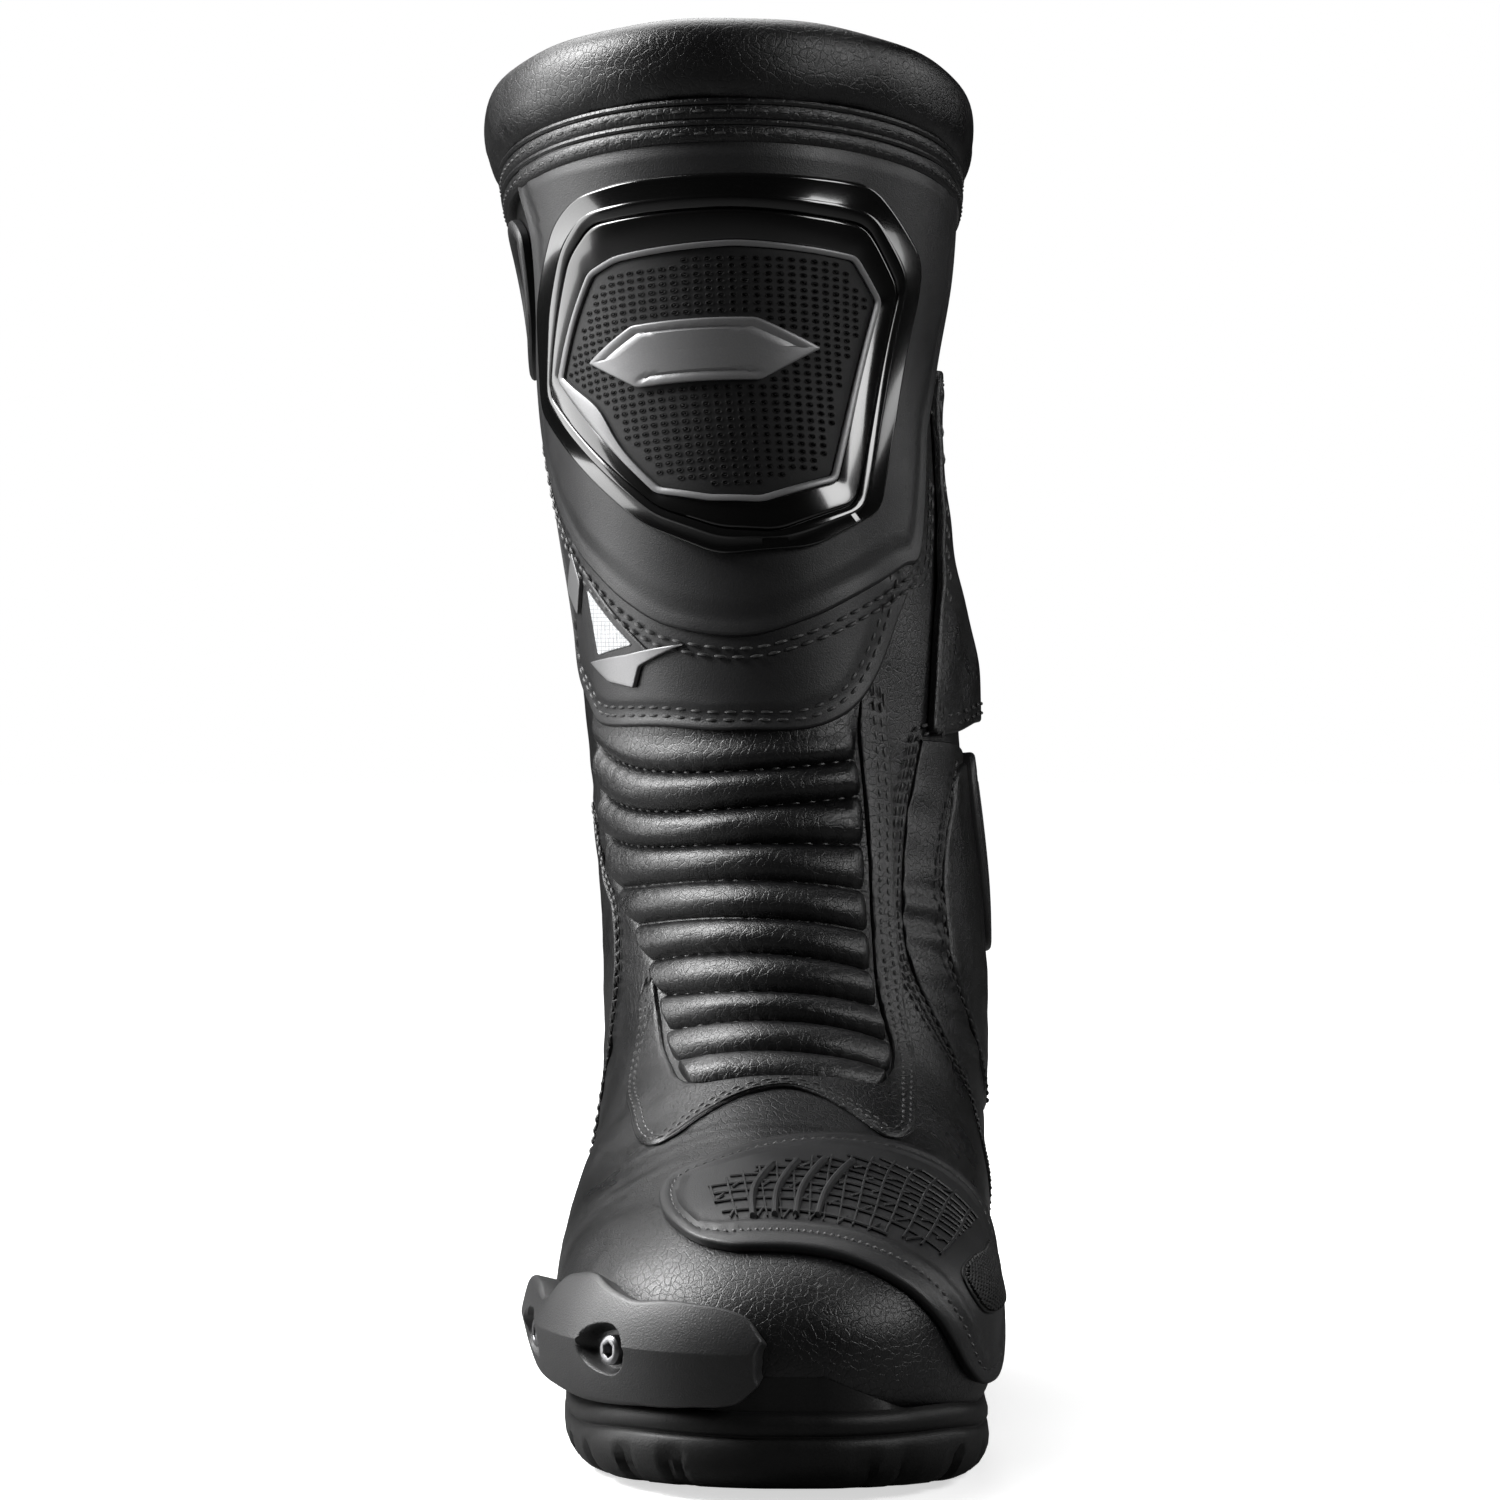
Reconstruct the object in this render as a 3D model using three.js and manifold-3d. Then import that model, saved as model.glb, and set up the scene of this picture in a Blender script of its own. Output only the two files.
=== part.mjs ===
// A right motorcycle racing boot: sole, foot, flexing ankle and tall shaft with a shin guard.
// Millimetres, +Z up, toe towards -Y, inner side of the leg towards +X.
// The origin is on the ground, at the middle of the heel's flat underside.
import * as THREE from "three";
import Module from "manifold-3d";

const wasm = await Module();
wasm.setup();

// ---------------------------------------------------------------- driving dimensions
const TOE_REACH = 262;        // heel centre to toe tip
const SEAM_HEIGHT = 341;      // ground to the collar seam at the front
const FOOT_WIDTH = 110;       // widest part of the foot
const SHAFT_WIDTH = 104;      // side to side, at the middle of the shaft
const SOLE_THICKNESS = 11;    // rubber under the ball of the foot
const LEATHER = 2.4;          // outer leather and its backing
const STIFFENER = 2.0;        // layer between leather and lining
const LINING = 1.6;
const FOOTBED = 4.0;
const GAP = 0.3;              // clearance between neighbouring pieces
const SHIN_PLATE = 2.0;       // moulded shin plates
const FRAME_HEIGHT = 3.4;     // raised gloss frames on the upper shin plate
const SLIDER_HEIGHT = 8.2;    // toe slider
const GUARD_HEIGHT = 4.0;     // ankle guard
const HEEL_CUP = 3.2;
const SHIFT_PAD = 2.2;
const COLLAR_HEIGHT = 22;     // padded roll above the seam
const COLLAR_DEPTH = 17;
const WELT_LIP = 2.6;         // how far the sole stands out from the upper
const TOE_SPRING = 4;
const ARCH_RISE = 3;
const ZIP_SLOT = 16;          // opening in the leather that the zip closes
const CHAIN_GAP = 1.2;        // between the two rows of teeth
const FLAP = 2.2;
const FLAP_STAND_OFF = 5.2;   // under the flap, room for the zip

// ---------------------------------------------------------------- the form of the boot
// One row per station from the toe tip, over the foot, round the heel and instep, up to
// the collar seam: front or top point (y, z), back or bottom point (y, z), share of the
// way from bottom to top where it is widest, outer and inner half widths, sideways centre,
// and roundness of the front and of the back. Laid out for the drawn sizes below.
const DRAWN = { reach: 262, height: 341, foot: 110, shaft: 104, sole: 11, ankle: 89 };
const FORM = [
  [-262, 59, -262, 15, 0.40, 50, 52, 3.0, 2.5, 3.4],
  [-222, 66, -225, 12, 0.38, 52, 53, 1.0, 2.4, 3.4],
  [-186, 72.5, -175, 11, 0.36, 55, 53, -0.5, 2.2, 3.4],
  [-158, 80.5, -105, 15, 0.37, 56, 54, 0.5, 2.1, 3.2],
  [-140, 89, -42, 20, 0.42, 55, 54, 2.0, 2.1, 2.8],
  [-127, 99, 20, 25, 0.46, 53, 52, 3.5, 2.1, 2.4],
  [-116, 111, 38, 52, 0.48, 51, 51, 4.5, 2.1, 2.3],
  [-105, 128, 40, 82, 0.48, 51, 51, 4.5, 2.1, 2.3],
  [-96, 150, 37, 112, 0.48, 50.5, 51, 3.0, 2.1, 2.3],
  [-91, 178, 34, 143, 0.49, 50.5, 51, 0.0, 2.1, 2.3],
  [-89, 210, 37, 178, 0.49, 50.5, 52, -3.5, 2.1, 2.3],
  [-89, 244, 43, 214, 0.49, 51.5, 52, -7.0, 2.1, 2.3],
  [-89, 278, 49, 248, 0.49, 53.5, 53, -10, 2.1, 2.3],
  [-90, 310, 53, 281, 0.49, 57, 58, -11.5, 2.1, 2.3],
  [-92, 341, 56, 312, 0.49, 61, 61, -12.5, 2.1, 2.3],
];
const TOP = FORM.length - 1;
const FOOT_STATIONS = 5;      // stations 0 to 5 are the foot, the rest ankle and shaft
const TOE_ROUND_PLAN = 78;    // length over which the toe rounds in, seen from above
const TOE_ROUND_SIDE = 40;    // and seen from the side

function fitRow(row, index) {
  const reach = TOE_REACH / DRAWN.reach;
  const rise = (SEAM_HEIGHT - DRAWN.ankle) / (DRAWN.height - DRAWN.ankle);
  const lift = SOLE_THICKNESS - DRAWN.sole;
  const footShare = THREE.MathUtils.clamp((FOOT_STATIONS + 2 - index) / 3, 0, 1);
  const width = footShare * FOOT_WIDTH / DRAWN.foot + (1 - footShare) * SHAFT_WIDTH / DRAWN.shaft;
  const along = (y) => (y < 0 ? y * reach : y);
  const up = (z) => lift + (z < DRAWN.ankle ? z : DRAWN.ankle + (z - DRAWN.ankle) * rise);
  const [ty, tz, by, bz, widest, outer, inner, centre, front, back] = row;
  return [along(ty), up(tz), along(by), up(bz), widest, outer * width, inner * width,
    centre * width, front, back];
}
const ROWS = FORM.map(fitRow);
const LEATHER_LINE = -LEATHER - GAP;                    // outside of the stiffener layer
const LINING_LINE = LEATHER_LINE - STIFFENER - GAP;     // outside of the lining
const FOOTBED_LINE = LINING_LINE - LINING - GAP;

function station(s) {
  const last = ROWS.length - 1;
  const k = Math.min(Math.max(Math.floor(s), 0), last - 1);
  const t = s - k;
  const a = ROWS[k];
  const b = ROWS[k + 1];
  const before = ROWS[k - 1] ?? a.map((value, i) => 2 * value - b[i]);
  const after = ROWS[k + 2] ?? b.map((value, i) => 2 * value - a[i]);
  return a.map((value, i) => value + 0.5 * t * (b[i] - before[i]
    + t * (2 * before[i] - 5 * value + 4 * b[i] - after[i]
    + t * (3 * (value - b[i]) + after[i] - before[i]))));
}

// A point of the boot's outer surface. s is the station; v goes once round the section,
// 0 at the front or top, positive on the inner side, 1 and -1 meeting at the back or sole.
function surface(s, v) {
  const [ty, tz, by, bz, widest, outer, inner, centre, front, back] = station(s);
  const fromTip = Math.max(ty + TOE_REACH, 0);
  const plan = 1 - Math.min(fromTip / TOE_ROUND_PLAN, 1);
  const side = 1 - Math.min(fromTip / TOE_ROUND_SIDE, 1);
  const planShare = (1 - plan ** 2.3) ** (1 / 2.3);
  const sideShare = (1 - side ** 2.4) ** (1 / 2.4);
  const angle = Math.PI * v;
  const back01 = (1 - Math.cos(angle)) / 2;
  const length = Math.hypot(ty - by, tz - bz);
  const dirY = (ty - by) / length;
  const dirZ = (tz - bz) / length;
  const deep = ((1 - widest) + (2 * widest - 1) * back01) * length * sideShare;
  const wide = ((outer + inner) / 2 + (inner - outer) / 2 * Math.sin(angle)) * planShare;
  const power = front + (back - front) * back01;
  const cos = Math.abs(Math.cos(angle)) / Math.max(deep, 0.01);
  const sin = Math.abs(Math.sin(angle)) / Math.max(wide, 0.01);
  const radius = (cos ** power + sin ** power) ** (-1 / power);
  const out = radius * Math.cos(angle);
  return new THREE.Vector3(
    centre + radius * Math.sin(angle),
    by + widest * length * dirY + out * dirY,
    bz + widest * length * dirZ + out * dirZ,
  );
}

function normal(s, v) {
  const step = 0.01;
  const low = Math.max(s, 0.03);
  const ds = surface(low + step, v).sub(surface(low - step, v));
  const dv = surface(low, v + step).sub(surface(low, v - step));
  return dv.cross(ds).normalize();
}

// The surface lifted outwards by so many millimetres.
const skin = (s, v, lift) => surface(s, v).addScaledVector(normal(s, v), lift);

// ---------------------------------------------------------------- solids
function solid(points, triangles) {
  const vertProperties = new Float32Array(points.flatMap((p) => [p.x, p.y, p.z]));
  const triVerts = new Uint32Array(triangles.flat());
  const mesh = new wasm.Mesh({ numProp: 3, vertProperties, triVerts });
  const made = new wasm.Manifold(mesh);
  return made.volume() > 0 ? made : solid(points, triangles.map(([a, b, c]) => [a, c, b]));
}

function geometryOf(made) {
  const mesh = made.getMesh();
  const geometry = new THREE.BufferGeometry();
  geometry.setAttribute("position", new THREE.BufferAttribute(mesh.vertProperties, 3));
  geometry.setIndex(new THREE.BufferAttribute(mesh.triVerts, 1));
  return geometry;
}

const COLUMNS = 20;
const STEPS = [0.04, 0.2, 0.55, 1.1, 1.9, 2.9, 3.7, 4.5, 5.2, 6, 6.8, 7.6, 8.5, 9.6, 11, 12.4,
  TOP];

// Rings of points from the toe tip up to a last ring, closed at both ends.
function filled(rings, tip) {
  const points = [tip, ...rings.flat()];
  const triangles = [];
  const at = (row, column) => 1 + row * COLUMNS + column % COLUMNS;
  for (let column = 0; column < COLUMNS; column += 1) {
    triangles.push([0, at(0, column), at(0, column + 1)]);
    for (let row = 0; row + 1 < rings.length; row += 1) {
      triangles.push([at(row, column), at(row + 1, column), at(row + 1, column + 1)]);
      triangles.push([at(row, column), at(row + 1, column + 1), at(row, column + 1)]);
    }
  }
  const lid = rings.at(-1);
  const centre = lid.reduce((sum, p) => sum.add(p), new THREE.Vector3()).divideScalar(COLUMNS);
  points.push(centre);
  for (let column = 0; column < COLUMNS; column += 1) {
    triangles.push([points.length - 1, at(rings.length - 1, column + 1), at(rings.length - 1, column)]);
  }
  return solid(points, triangles);
}

function ring(station_, lift) {
  return Array.from({ length: COLUMNS }, (_, i) => {
    const v = (2 * i) / COLUMNS - 1;
    return skin(typeof station_ === "function" ? station_(v) : station_, v, lift);
  });
}

// The whole boot as one block, grown by lift; a boot that runs past the seam is taller.
const envelopes = new Map();
function envelope(lift, past = 0) {
  const key = `${lift} ${past}`;
  if (!envelopes.has(key)) {
    const steps = past > 0 ? [...STEPS, TOP + past] : STEPS;
    const tip = surface(0, 0).add(new THREE.Vector3(0, -lift, 0));
    tip.z = surface(0.03, 0.5).z;
    envelopes.set(key, filled(steps.map((s) => ring(s, lift)), tip));
  }
  return envelopes.get(key);
}

// The block from the toe tip up to a limit that depends on v.
function upTo(limit) {
  const shares = [0.01, 0.05, 0.12, 0.25, 0.4, 0.55, 0.7, 0.85, 1];
  const grown = 14;
  const tip = surface(0, 0).add(new THREE.Vector3(0, -grown, 0));
  tip.z = surface(0.03, 0.5).z;
  return filled(shares.map((share) => ring((v) => Math.max(share * limit(v), 0.03), grown)), tip);
}

// A layer of the boot's wall between two lifts, open at the top.
const layer = (low, high) => envelope(high).subtract(envelope(low, 0.5));

// A slab over a patch of the surface: map gives (s, v) for a and b from 0 to 1.
function slab(map, across, along, low, high) {
  const points = [];
  const triangles = [];
  const lowAt = typeof low === "function" ? low : () => low;
  const highAt = typeof high === "function" ? high : () => high;
  for (const lift of [highAt, lowAt]) {
    for (let i = 0; i <= across; i += 1) {
      for (let j = 0; j <= along; j += 1) {
        const [s, v] = map(i / across, j / along);
        points.push(skin(s, v, lift(s, v)));
      }
    }
  }
  const count = (across + 1) * (along + 1);
  const at = (i, j, side) => i * (along + 1) + j + side * count;
  for (let i = 0; i < across; i += 1) {
    for (let j = 0; j < along; j += 1) {
      triangles.push([at(i, j, 0), at(i + 1, j, 0), at(i + 1, j + 1, 0)]);
      triangles.push([at(i, j, 0), at(i + 1, j + 1, 0), at(i, j + 1, 0)]);
      triangles.push([at(i, j, 1), at(i + 1, j + 1, 1), at(i + 1, j, 1)]);
      triangles.push([at(i, j, 1), at(i, j + 1, 1), at(i + 1, j + 1, 1)]);
    }
  }
  const border = [];
  for (let i = 0; i < across; i += 1) border.push([i, 0]);
  for (let j = 0; j < along; j += 1) border.push([across, j]);
  for (let i = across; i > 0; i -= 1) border.push([i, along]);
  for (let j = along; j > 0; j -= 1) border.push([0, j]);
  border.forEach(([i, j], k) => {
    const [p, q] = border[(k + 1) % border.length];
    triangles.push([at(i, j, 0), at(i, j, 1), at(p, q, 1)]);
    triangles.push([at(i, j, 0), at(p, q, 1), at(p, q, 0)]);
  });
  return solid(points, triangles);
}

// Outlines are drawn on the surface laid flat, in rough millimetres.
const S_SCALE = 30;
const V_SCALE = 180;

// A closed smooth outline through (s, v) points, moved inwards by so many millimetres.
function outline(points, inset = 0, count = 28) {
  const flat = points.map(([s, v]) => new THREE.Vector3(s * S_SCALE, v * V_SCALE, 0));
  const curve = new THREE.CatmullRomCurve3(flat, true, "centripetal");
  const dense = curve.getSpacedPoints(count).slice(0, count);
  const area = THREE.ShapeUtils.area(dense);
  return dense.map((p, i) => {
    const next = dense[(i + 1) % count];
    const last = dense[(i - 1 + count) % count];
    const way = new THREE.Vector3(last.y - next.y, next.x - last.x, 0).normalize();
    const moved = p.clone().addScaledVector(way, area > 0 ? inset : -inset);
    return [moved.x / S_SCALE, moved.y / V_SCALE];
  });
}

// A slab over the inside of a closed outline, in rings round its middle.
function disc(border, low, high, rings = 3) {
  const count = border.length;
  const middle = [0, 1].map((k) => border.reduce((sum, p) => sum + p[k], 0) / count);
  const lowAt = typeof low === "function" ? low : () => low;
  const highAt = typeof high === "function" ? high : () => high;
  const points = [];
  const triangles = [];
  const half = 1 + rings * count;
  for (const lift of [highAt, lowAt]) {
    points.push(skin(middle[0], middle[1], lift(...middle)));
    for (let r = 1; r <= rings; r += 1) {
      for (const [s, v] of border) {
        const at = [middle[0] + (s - middle[0]) * r / rings, middle[1] + (v - middle[1]) * r / rings];
        points.push(skin(at[0], at[1], lift(...at)));
      }
    }
  }
  for (let side = 0; side < 2; side += 1) {
    const put = (a, b, c) => triangles.push(side ? [a + half, c + half, b + half] : [a, b, c]);
    for (let i = 0; i < count; i += 1) {
      const j = (i + 1) % count;
      put(0, 1 + i, 1 + j);
      for (let r = 1; r < rings; r += 1) {
        const inner = 1 + (r - 1) * count;
        const outer = inner + count;
        put(inner + i, outer + i, outer + j);
        put(inner + i, outer + j, inner + j);
      }
    }
  }
  const rim = 1 + (rings - 1) * count;
  for (let i = 0; i < count; i += 1) {
    const j = (i + 1) % count;
    triangles.push([rim + i, rim + half + i, rim + half + j]);
    triangles.push([rim + i, rim + half + j, rim + j]);
  }
  return solid(points, triangles);
}

// A plate of even thickness that lies on the boot, over a closed outline.
const REACH_PAST = 4;
function plate(border, bottom, top, rings) {
  const block = disc(border, bottom - REACH_PAST, top + REACH_PAST, rings);
  return block.intersect(envelope(top)).subtract(envelope(bottom));
}

// A plate with a window.
function framePlate(border, window_, bottom, top) {
  const hole = disc(window_, bottom - 2 * REACH_PAST, top + 2 * REACH_PAST);
  return plate(border, bottom, top).subtract(hole);
}

function placed(geometry, matrix) {
  const moved = (geometry.index ? geometry.toNonIndexed() : geometry).applyMatrix4(matrix);
  const found = new Map();
  const points = [];
  const index = [];
  const position = moved.getAttribute("position");
  for (let i = 0; i < position.count; i += 1) {
    const p = new THREE.Vector3().fromBufferAttribute(position, i);
    const key = [p.x, p.y, p.z].map((c) => Math.round(c * 1e4)).join(" ");
    if (!found.has(key)) {
      found.set(key, points.length);
      points.push(p);
    }
    index.push(found.get(key));
  }
  const triangles = [];
  for (let i = 0; i < index.length; i += 3) {
    const [a, b, c] = index.slice(i, i + 3);
    if (a !== b && b !== c && a !== c) triangles.push([a, b, c]);
  }
  return solid(points, triangles);
}

// The place on the surface whose z axis is the outward normal and y axis points up.
function seat(s, v) {
  const z = normal(s, v);
  const x = new THREE.Vector3(0, 0, 1).cross(z).normalize();
  const y = z.clone().cross(x);
  return new THREE.Matrix4().makeBasis(x, y, z).setPosition(surface(s, v));
}

const interpolate = (table) => (value) => {
  const i = Math.min(table.findIndex(([x]) => x >= value), table.length - 1);
  if (i <= 0) return i < 0 ? table.at(-1)[1] : table[0][1];
  const [x0, y0] = table[i - 1];
  const [x1, y1] = table[i];
  return y0 + (y1 - y0) * (value - x0) / (x1 - x0);
};

// ---------------------------------------------------------------- where the pieces part
const footEdge = interpolate([[0, 3.75], [0.1, 3.65], [0.16, 4.2], [0.22, 5.2], [0.3, 5.9],
  [0.5, 6.3], [0.75, 6.9], [1, 7.3]]);
const shaftEdge = interpolate([[0, 8.9], [0.36, 8.9], [0.44, 8.3], [0.52, 7.7], [0.75, 8.1],
  [1, 9.0]]);
const EDGE_GAP = 0.02;        // the same clearance, along s
const SIDE_GAP = 0.003;       // and along v
const footLimit = (v) => footEdge(Math.abs(v)) - EDGE_GAP;
const shaftLimit = (v) => shaftEdge(Math.abs(v)) + EDGE_GAP;
const footBlock = upTo(footLimit);
const shaftStart = upTo(shaftLimit);
const ankleBlock = upTo((v) => shaftLimit(v) - 2 * EDGE_GAP)
  .subtract(upTo((v) => footLimit(v) + 2 * EDGE_GAP));

const ribOuterSide = interpolate([[3.6, -0.13], [4.9, -0.13], [5.5, -0.146], [6, -0.165],
  [6.55, -0.195], [7.1, -0.243], [7.7, -0.325], [8.3, -0.395], [8.9, -0.44]]);
const ribInnerSide = interpolate([[3.6, 0.13], [4.4, 0.12], [5.1, 0.1], [5.8, 0.09],
  [6.8, 0.084], [7.8, 0.098], [8.8, 0.108], [9.2, 0.113]]);
const ACHILLES = 0.8;         // the back panel starts at this v

// The part of the ankle zone between two sides that depend on s.
function ankleSector(from, to) {
  const map = (a, b) => {
    const s = 3.2 + 6.3 * a;
    return [s, from(s) + SIDE_GAP + (to(s) - from(s) - 2 * SIDE_GAP) * b];
  };
  return slab(map, 12, 10, -12, 10);
}

// ---------------------------------------------------------------- materials and pieces
const object = new THREE.Group();
const finish = (color, roughness, metalness = 0) => ({ color, roughness, metalness });
const LEATHER_BLACK = finish(0x141414, 0.55);
const LINING_BLACK = finish(0x1c1c1e, 0.95);
const PLATE_MATTE = finish(0x1b1b1c, 0.6);
const FRAME_GLOSS = finish(0x0b0b0b, 0.12);
const SATIN_GREY = finish(0x7f8285, 0.38);
const RUBBER_BLACK = finish(0x171717, 0.8);
const REFLECTIVE_WHITE = finish(0xe9eaea, 0.3);
const STEEL = finish(0x9a9a9a, 0.3, 1);
const FOAM = finish(0x3a3a3a, 0.95);
const WEB = finish(0x161616, 0.9);

function add(name, made, look) {
  const mesh = new THREE.Mesh(geometryOf(made), new THREE.MeshStandardMaterial(look));
  mesh.name = name;
  object.add(mesh);
}

// ---------------------------------------------------------------- sole
// The welt, where the upper meets the sole: toe to the back of the heel, one side.
const WELT = [[0.04, 0.6], [0.25, 0.6], [0.6, 0.6], [1.1, 0.605], [1.7, 0.61], [2.3, 0.615],
  [2.7, 0.625], [3, 0.64], [3.3, 0.665], [3.6, 0.69], [3.9, 0.72], [4.2, 0.745], [4.5, 0.775],
  [4.8, 0.82], [5.1, 0.88], [5.3, 0.94], [5.38, 0.99]];
const groundLine = interpolate([[-TOE_REACH - 10, TOE_SPRING], [-TOE_REACH * 0.8, 0],
  [-TOE_REACH * 0.38, 0], [-TOE_REACH * 0.34, ARCH_RISE], [-TOE_REACH * 0.14, ARCH_RISE],
  [-TOE_REACH * 0.115, 0], [60, 0]]);
const SOLE_TAPER = { across: 0.97, along: 0.99 };   // the ground outline against the welt
const SHANK = { from: 3.2, to: 4.9, half: 0.05, thick: 1.6 };

// The space the shank takes, grown all round and open into the boot.
function shankSpace(grow) {
  const ends = grow / S_SCALE;
  const half = SHANK.half + grow / V_SCALE;
  const map = (a, b) => [SHANK.from - ends + (SHANK.to - SHANK.from + 2 * ends) * a,
    1 - half + 2 * half * b];
  return slab(map, 6, 2, -4, 6).intersect(envelope(GAP + SHANK.thick + grow));
}

function outsole() {
  const points = [];
  const triangles = [];
  for (const [s, v] of WELT) {
    const rim = [skin(s, v, WELT_LIP), skin(s, -v, WELT_LIP)];
    const ground = rim.map((p) => new THREE.Vector3(p.x * SOLE_TAPER.across, p.y * SOLE_TAPER.along,
      groundLine(p.y)));
    points.push(rim[0], ground[0], ground[1], rim[1]);
  }
  const last = points.length - 4;
  for (let row = 0; row < last; row += 4) {
    for (let k = 0; k < 4; k += 1) {
      const next = (k + 1) % 4;
      triangles.push([row + k, row + 4 + next, row + 4 + k]);
      triangles.push([row + k, row + next, row + 4 + next]);
    }
  }
  triangles.push([0, 2, 1], [0, 3, 2], [last, last + 1, last + 2], [last, last + 2, last + 3]);
  return solid(points, triangles).subtract(envelope(GAP).add(shankSpace(GAP)));
}
add("outsole", outsole(), RUBBER_BLACK);
add("steel_shank", shankSpace(0).subtract(envelope(GAP)), STEEL);

// ---------------------------------------------------------------- toe slider and its screws
const SLIDER_EDGE = [[0.06, -0.22], [0.2, -0.3], [0.55, -0.37], [0.9, -0.39], [1.35, -0.39],
  [1.9, -0.4], [2.3, -0.45], [2.35, -0.52], [2.1, -0.575], [1.5, -0.585], [0.9, -0.575],
  [0.45, -0.575], [0.15, -0.57], [0.06, -0.5], [0.04, -0.36]];
const SCREW_SEATS = [["slider_screw_front", 0.48, -0.49], ["slider_screw_rear", 1.5, -0.5]];
const SCREW = { shank: 2, head: 4, headHeight: 3, socket: 1.7, socketDepth: 2, sides: 12 };
const SCREW_TIP = LINING_LINE + GAP;

function rod(radius, from, to, seatMatrix, sides = SCREW.sides) {
  const geometry = new THREE.CylinderGeometry(radius, radius, to - from, sides);
  geometry.rotateX(Math.PI / 2).translate(0, 0, (from + to) / 2);
  return placed(geometry, seatMatrix);
}

function sliderScrew(seatMatrix) {
  const top = SLIDER_HEIGHT - 1;
  const under = top - SCREW.headHeight;
  return rod(SCREW.head, under, top, seatMatrix)
    .add(rod(SCREW.shank, SCREW_TIP, under + 1, seatMatrix))
    .subtract(rod(SCREW.socket, top - SCREW.socketDepth, top + 1, seatMatrix, 6));
}

// Room for the screws through the pieces they pass.
function drilled(made) {
  return SCREW_SEATS.reduce((left, [, s, v]) => {
    const matrix = seat(s, v);
    const under = SLIDER_HEIGHT - 1 - SCREW.headHeight - GAP;
    return left.subtract(rod(SCREW.shank + GAP, -12, 12, matrix))
      .subtract(rod(SCREW.head + GAP, under, SLIDER_HEIGHT + 8, matrix));
  }, made);
}
for (const [name, s, v] of SCREW_SEATS) add(name, sliderScrew(seat(s, v)), STEEL);
add("toe_slider", drilled(plate(outline(SLIDER_EDGE), GAP, SLIDER_HEIGHT)), PLATE_MATTE);

// ---------------------------------------------------------------- the foot
const outer = layer(-LEATHER, 0);
const lining = layer(LINING_LINE - LINING, LINING_LINE);
add("foot_shell", drilled(outer.intersect(footBlock)), LEATHER_BLACK);
add("foot_lining", lining.intersect(footBlock), LINING_BLACK);

const stiffener = layer(LEATHER_LINE - STIFFENER, LEATHER_LINE);
const soleSide = 0.82;        // the board covers the bottom from this v on
function band(fromS, toS, fromV, toV, low, high, across = 8, along = 8) {
  const map = (a, b) => [fromS + (toS - fromS) * a, fromV + (toV - fromV) * b];
  return slab(map, across, along, low, high);
}
const CUT_DEPTH = -14;
const TOE_PUFF_END = 1.55;
const toeBlock = upTo(() => TOE_PUFF_END);
const boardBlock = band(TOE_PUFF_END + 0.03, 4.9, soleSide, 2 - soleSide, CUT_DEPTH, 3);
const COUNTER_START = 4.6;    // at the sole, further back up the sides
const counterFrom = (v) => COUNTER_START + 1.2 * (1 - Math.abs(v));
const counterBlock = upTo((v) => footEdge(Math.abs(v)) - 0.35).subtract(upTo(counterFrom));
const NUT_PLATE = { from: 0.35, to: 2.3, fromV: -0.545, toV: -0.425 };

function nutPlateBlock(grow) {
  const { from, to, fromV, toV } = NUT_PLATE;
  return band(from - grow / S_SCALE, to + grow / S_SCALE, fromV - grow / V_SCALE,
    toV + grow / V_SCALE, CUT_DEPTH, 3, 6, 2);
}
add("toe_puff", stiffener.intersect(toeBlock).subtract(nutPlateBlock(1)), FOAM);
add("slider_nut_plate", drilled(stiffener.intersect(nutPlateBlock(0))), STEEL);
const boardEnd = upTo((v) => counterFrom(v) - EDGE_GAP);
add("insole_board", stiffener.intersect(boardBlock).intersect(boardEnd), FOAM);
add("heel_counter", stiffener.intersect(counterBlock), FOAM);
const footbedBlock = band(0.5, 4.8, 0.84, 1.16, FOOTBED_LINE - FOOTBED - 3, 3, 8, 6);
add("footbed", layer(FOOTBED_LINE - FOOTBED, FOOTBED_LINE).intersect(footbedBlock), FOAM);

const SHIFT_PAD_EDGE = [[1.6, -0.235], [1.95, -0.2], [2.08, -0.12], [2.3, -0.02], [2.5, 0.065],
  [2.68, 0.145], [2.86, 0.22], [2.96, 0.3], [2.9, 0.38], [2.6, 0.44], [2.1, 0.48], [1.5, 0.5],
  [1.2, 0.555], [0.75, 0.56], [0.55, 0.53], [0.42, 0.47], [0.33, 0.4], [0.3, 0.31],
  [0.31, 0.22], [0.33, 0.08], [0.36, -0.08], [0.4, -0.17], [0.55, -0.23], [1.05, -0.25]];
const SIDE_MESH_EDGE = [[0.75, 0.37], [1.5, 0.38], [2.3, 0.4], [2.2, 0.44], [1.5, 0.455],
  [0.8, 0.445]];
const padEdge = outline(SHIFT_PAD_EDGE, 0, 36);
const meshEdge = outline(SIDE_MESH_EDGE, 0, 20);
add("shift_pad", framePlate(padEdge, outline(SIDE_MESH_EDGE, -0.5, 20), GAP, SHIFT_PAD), PLATE_MATTE);
add("shift_pad_mesh", plate(meshEdge, GAP, SHIFT_PAD - 0.7), RUBBER_BLACK);

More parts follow.
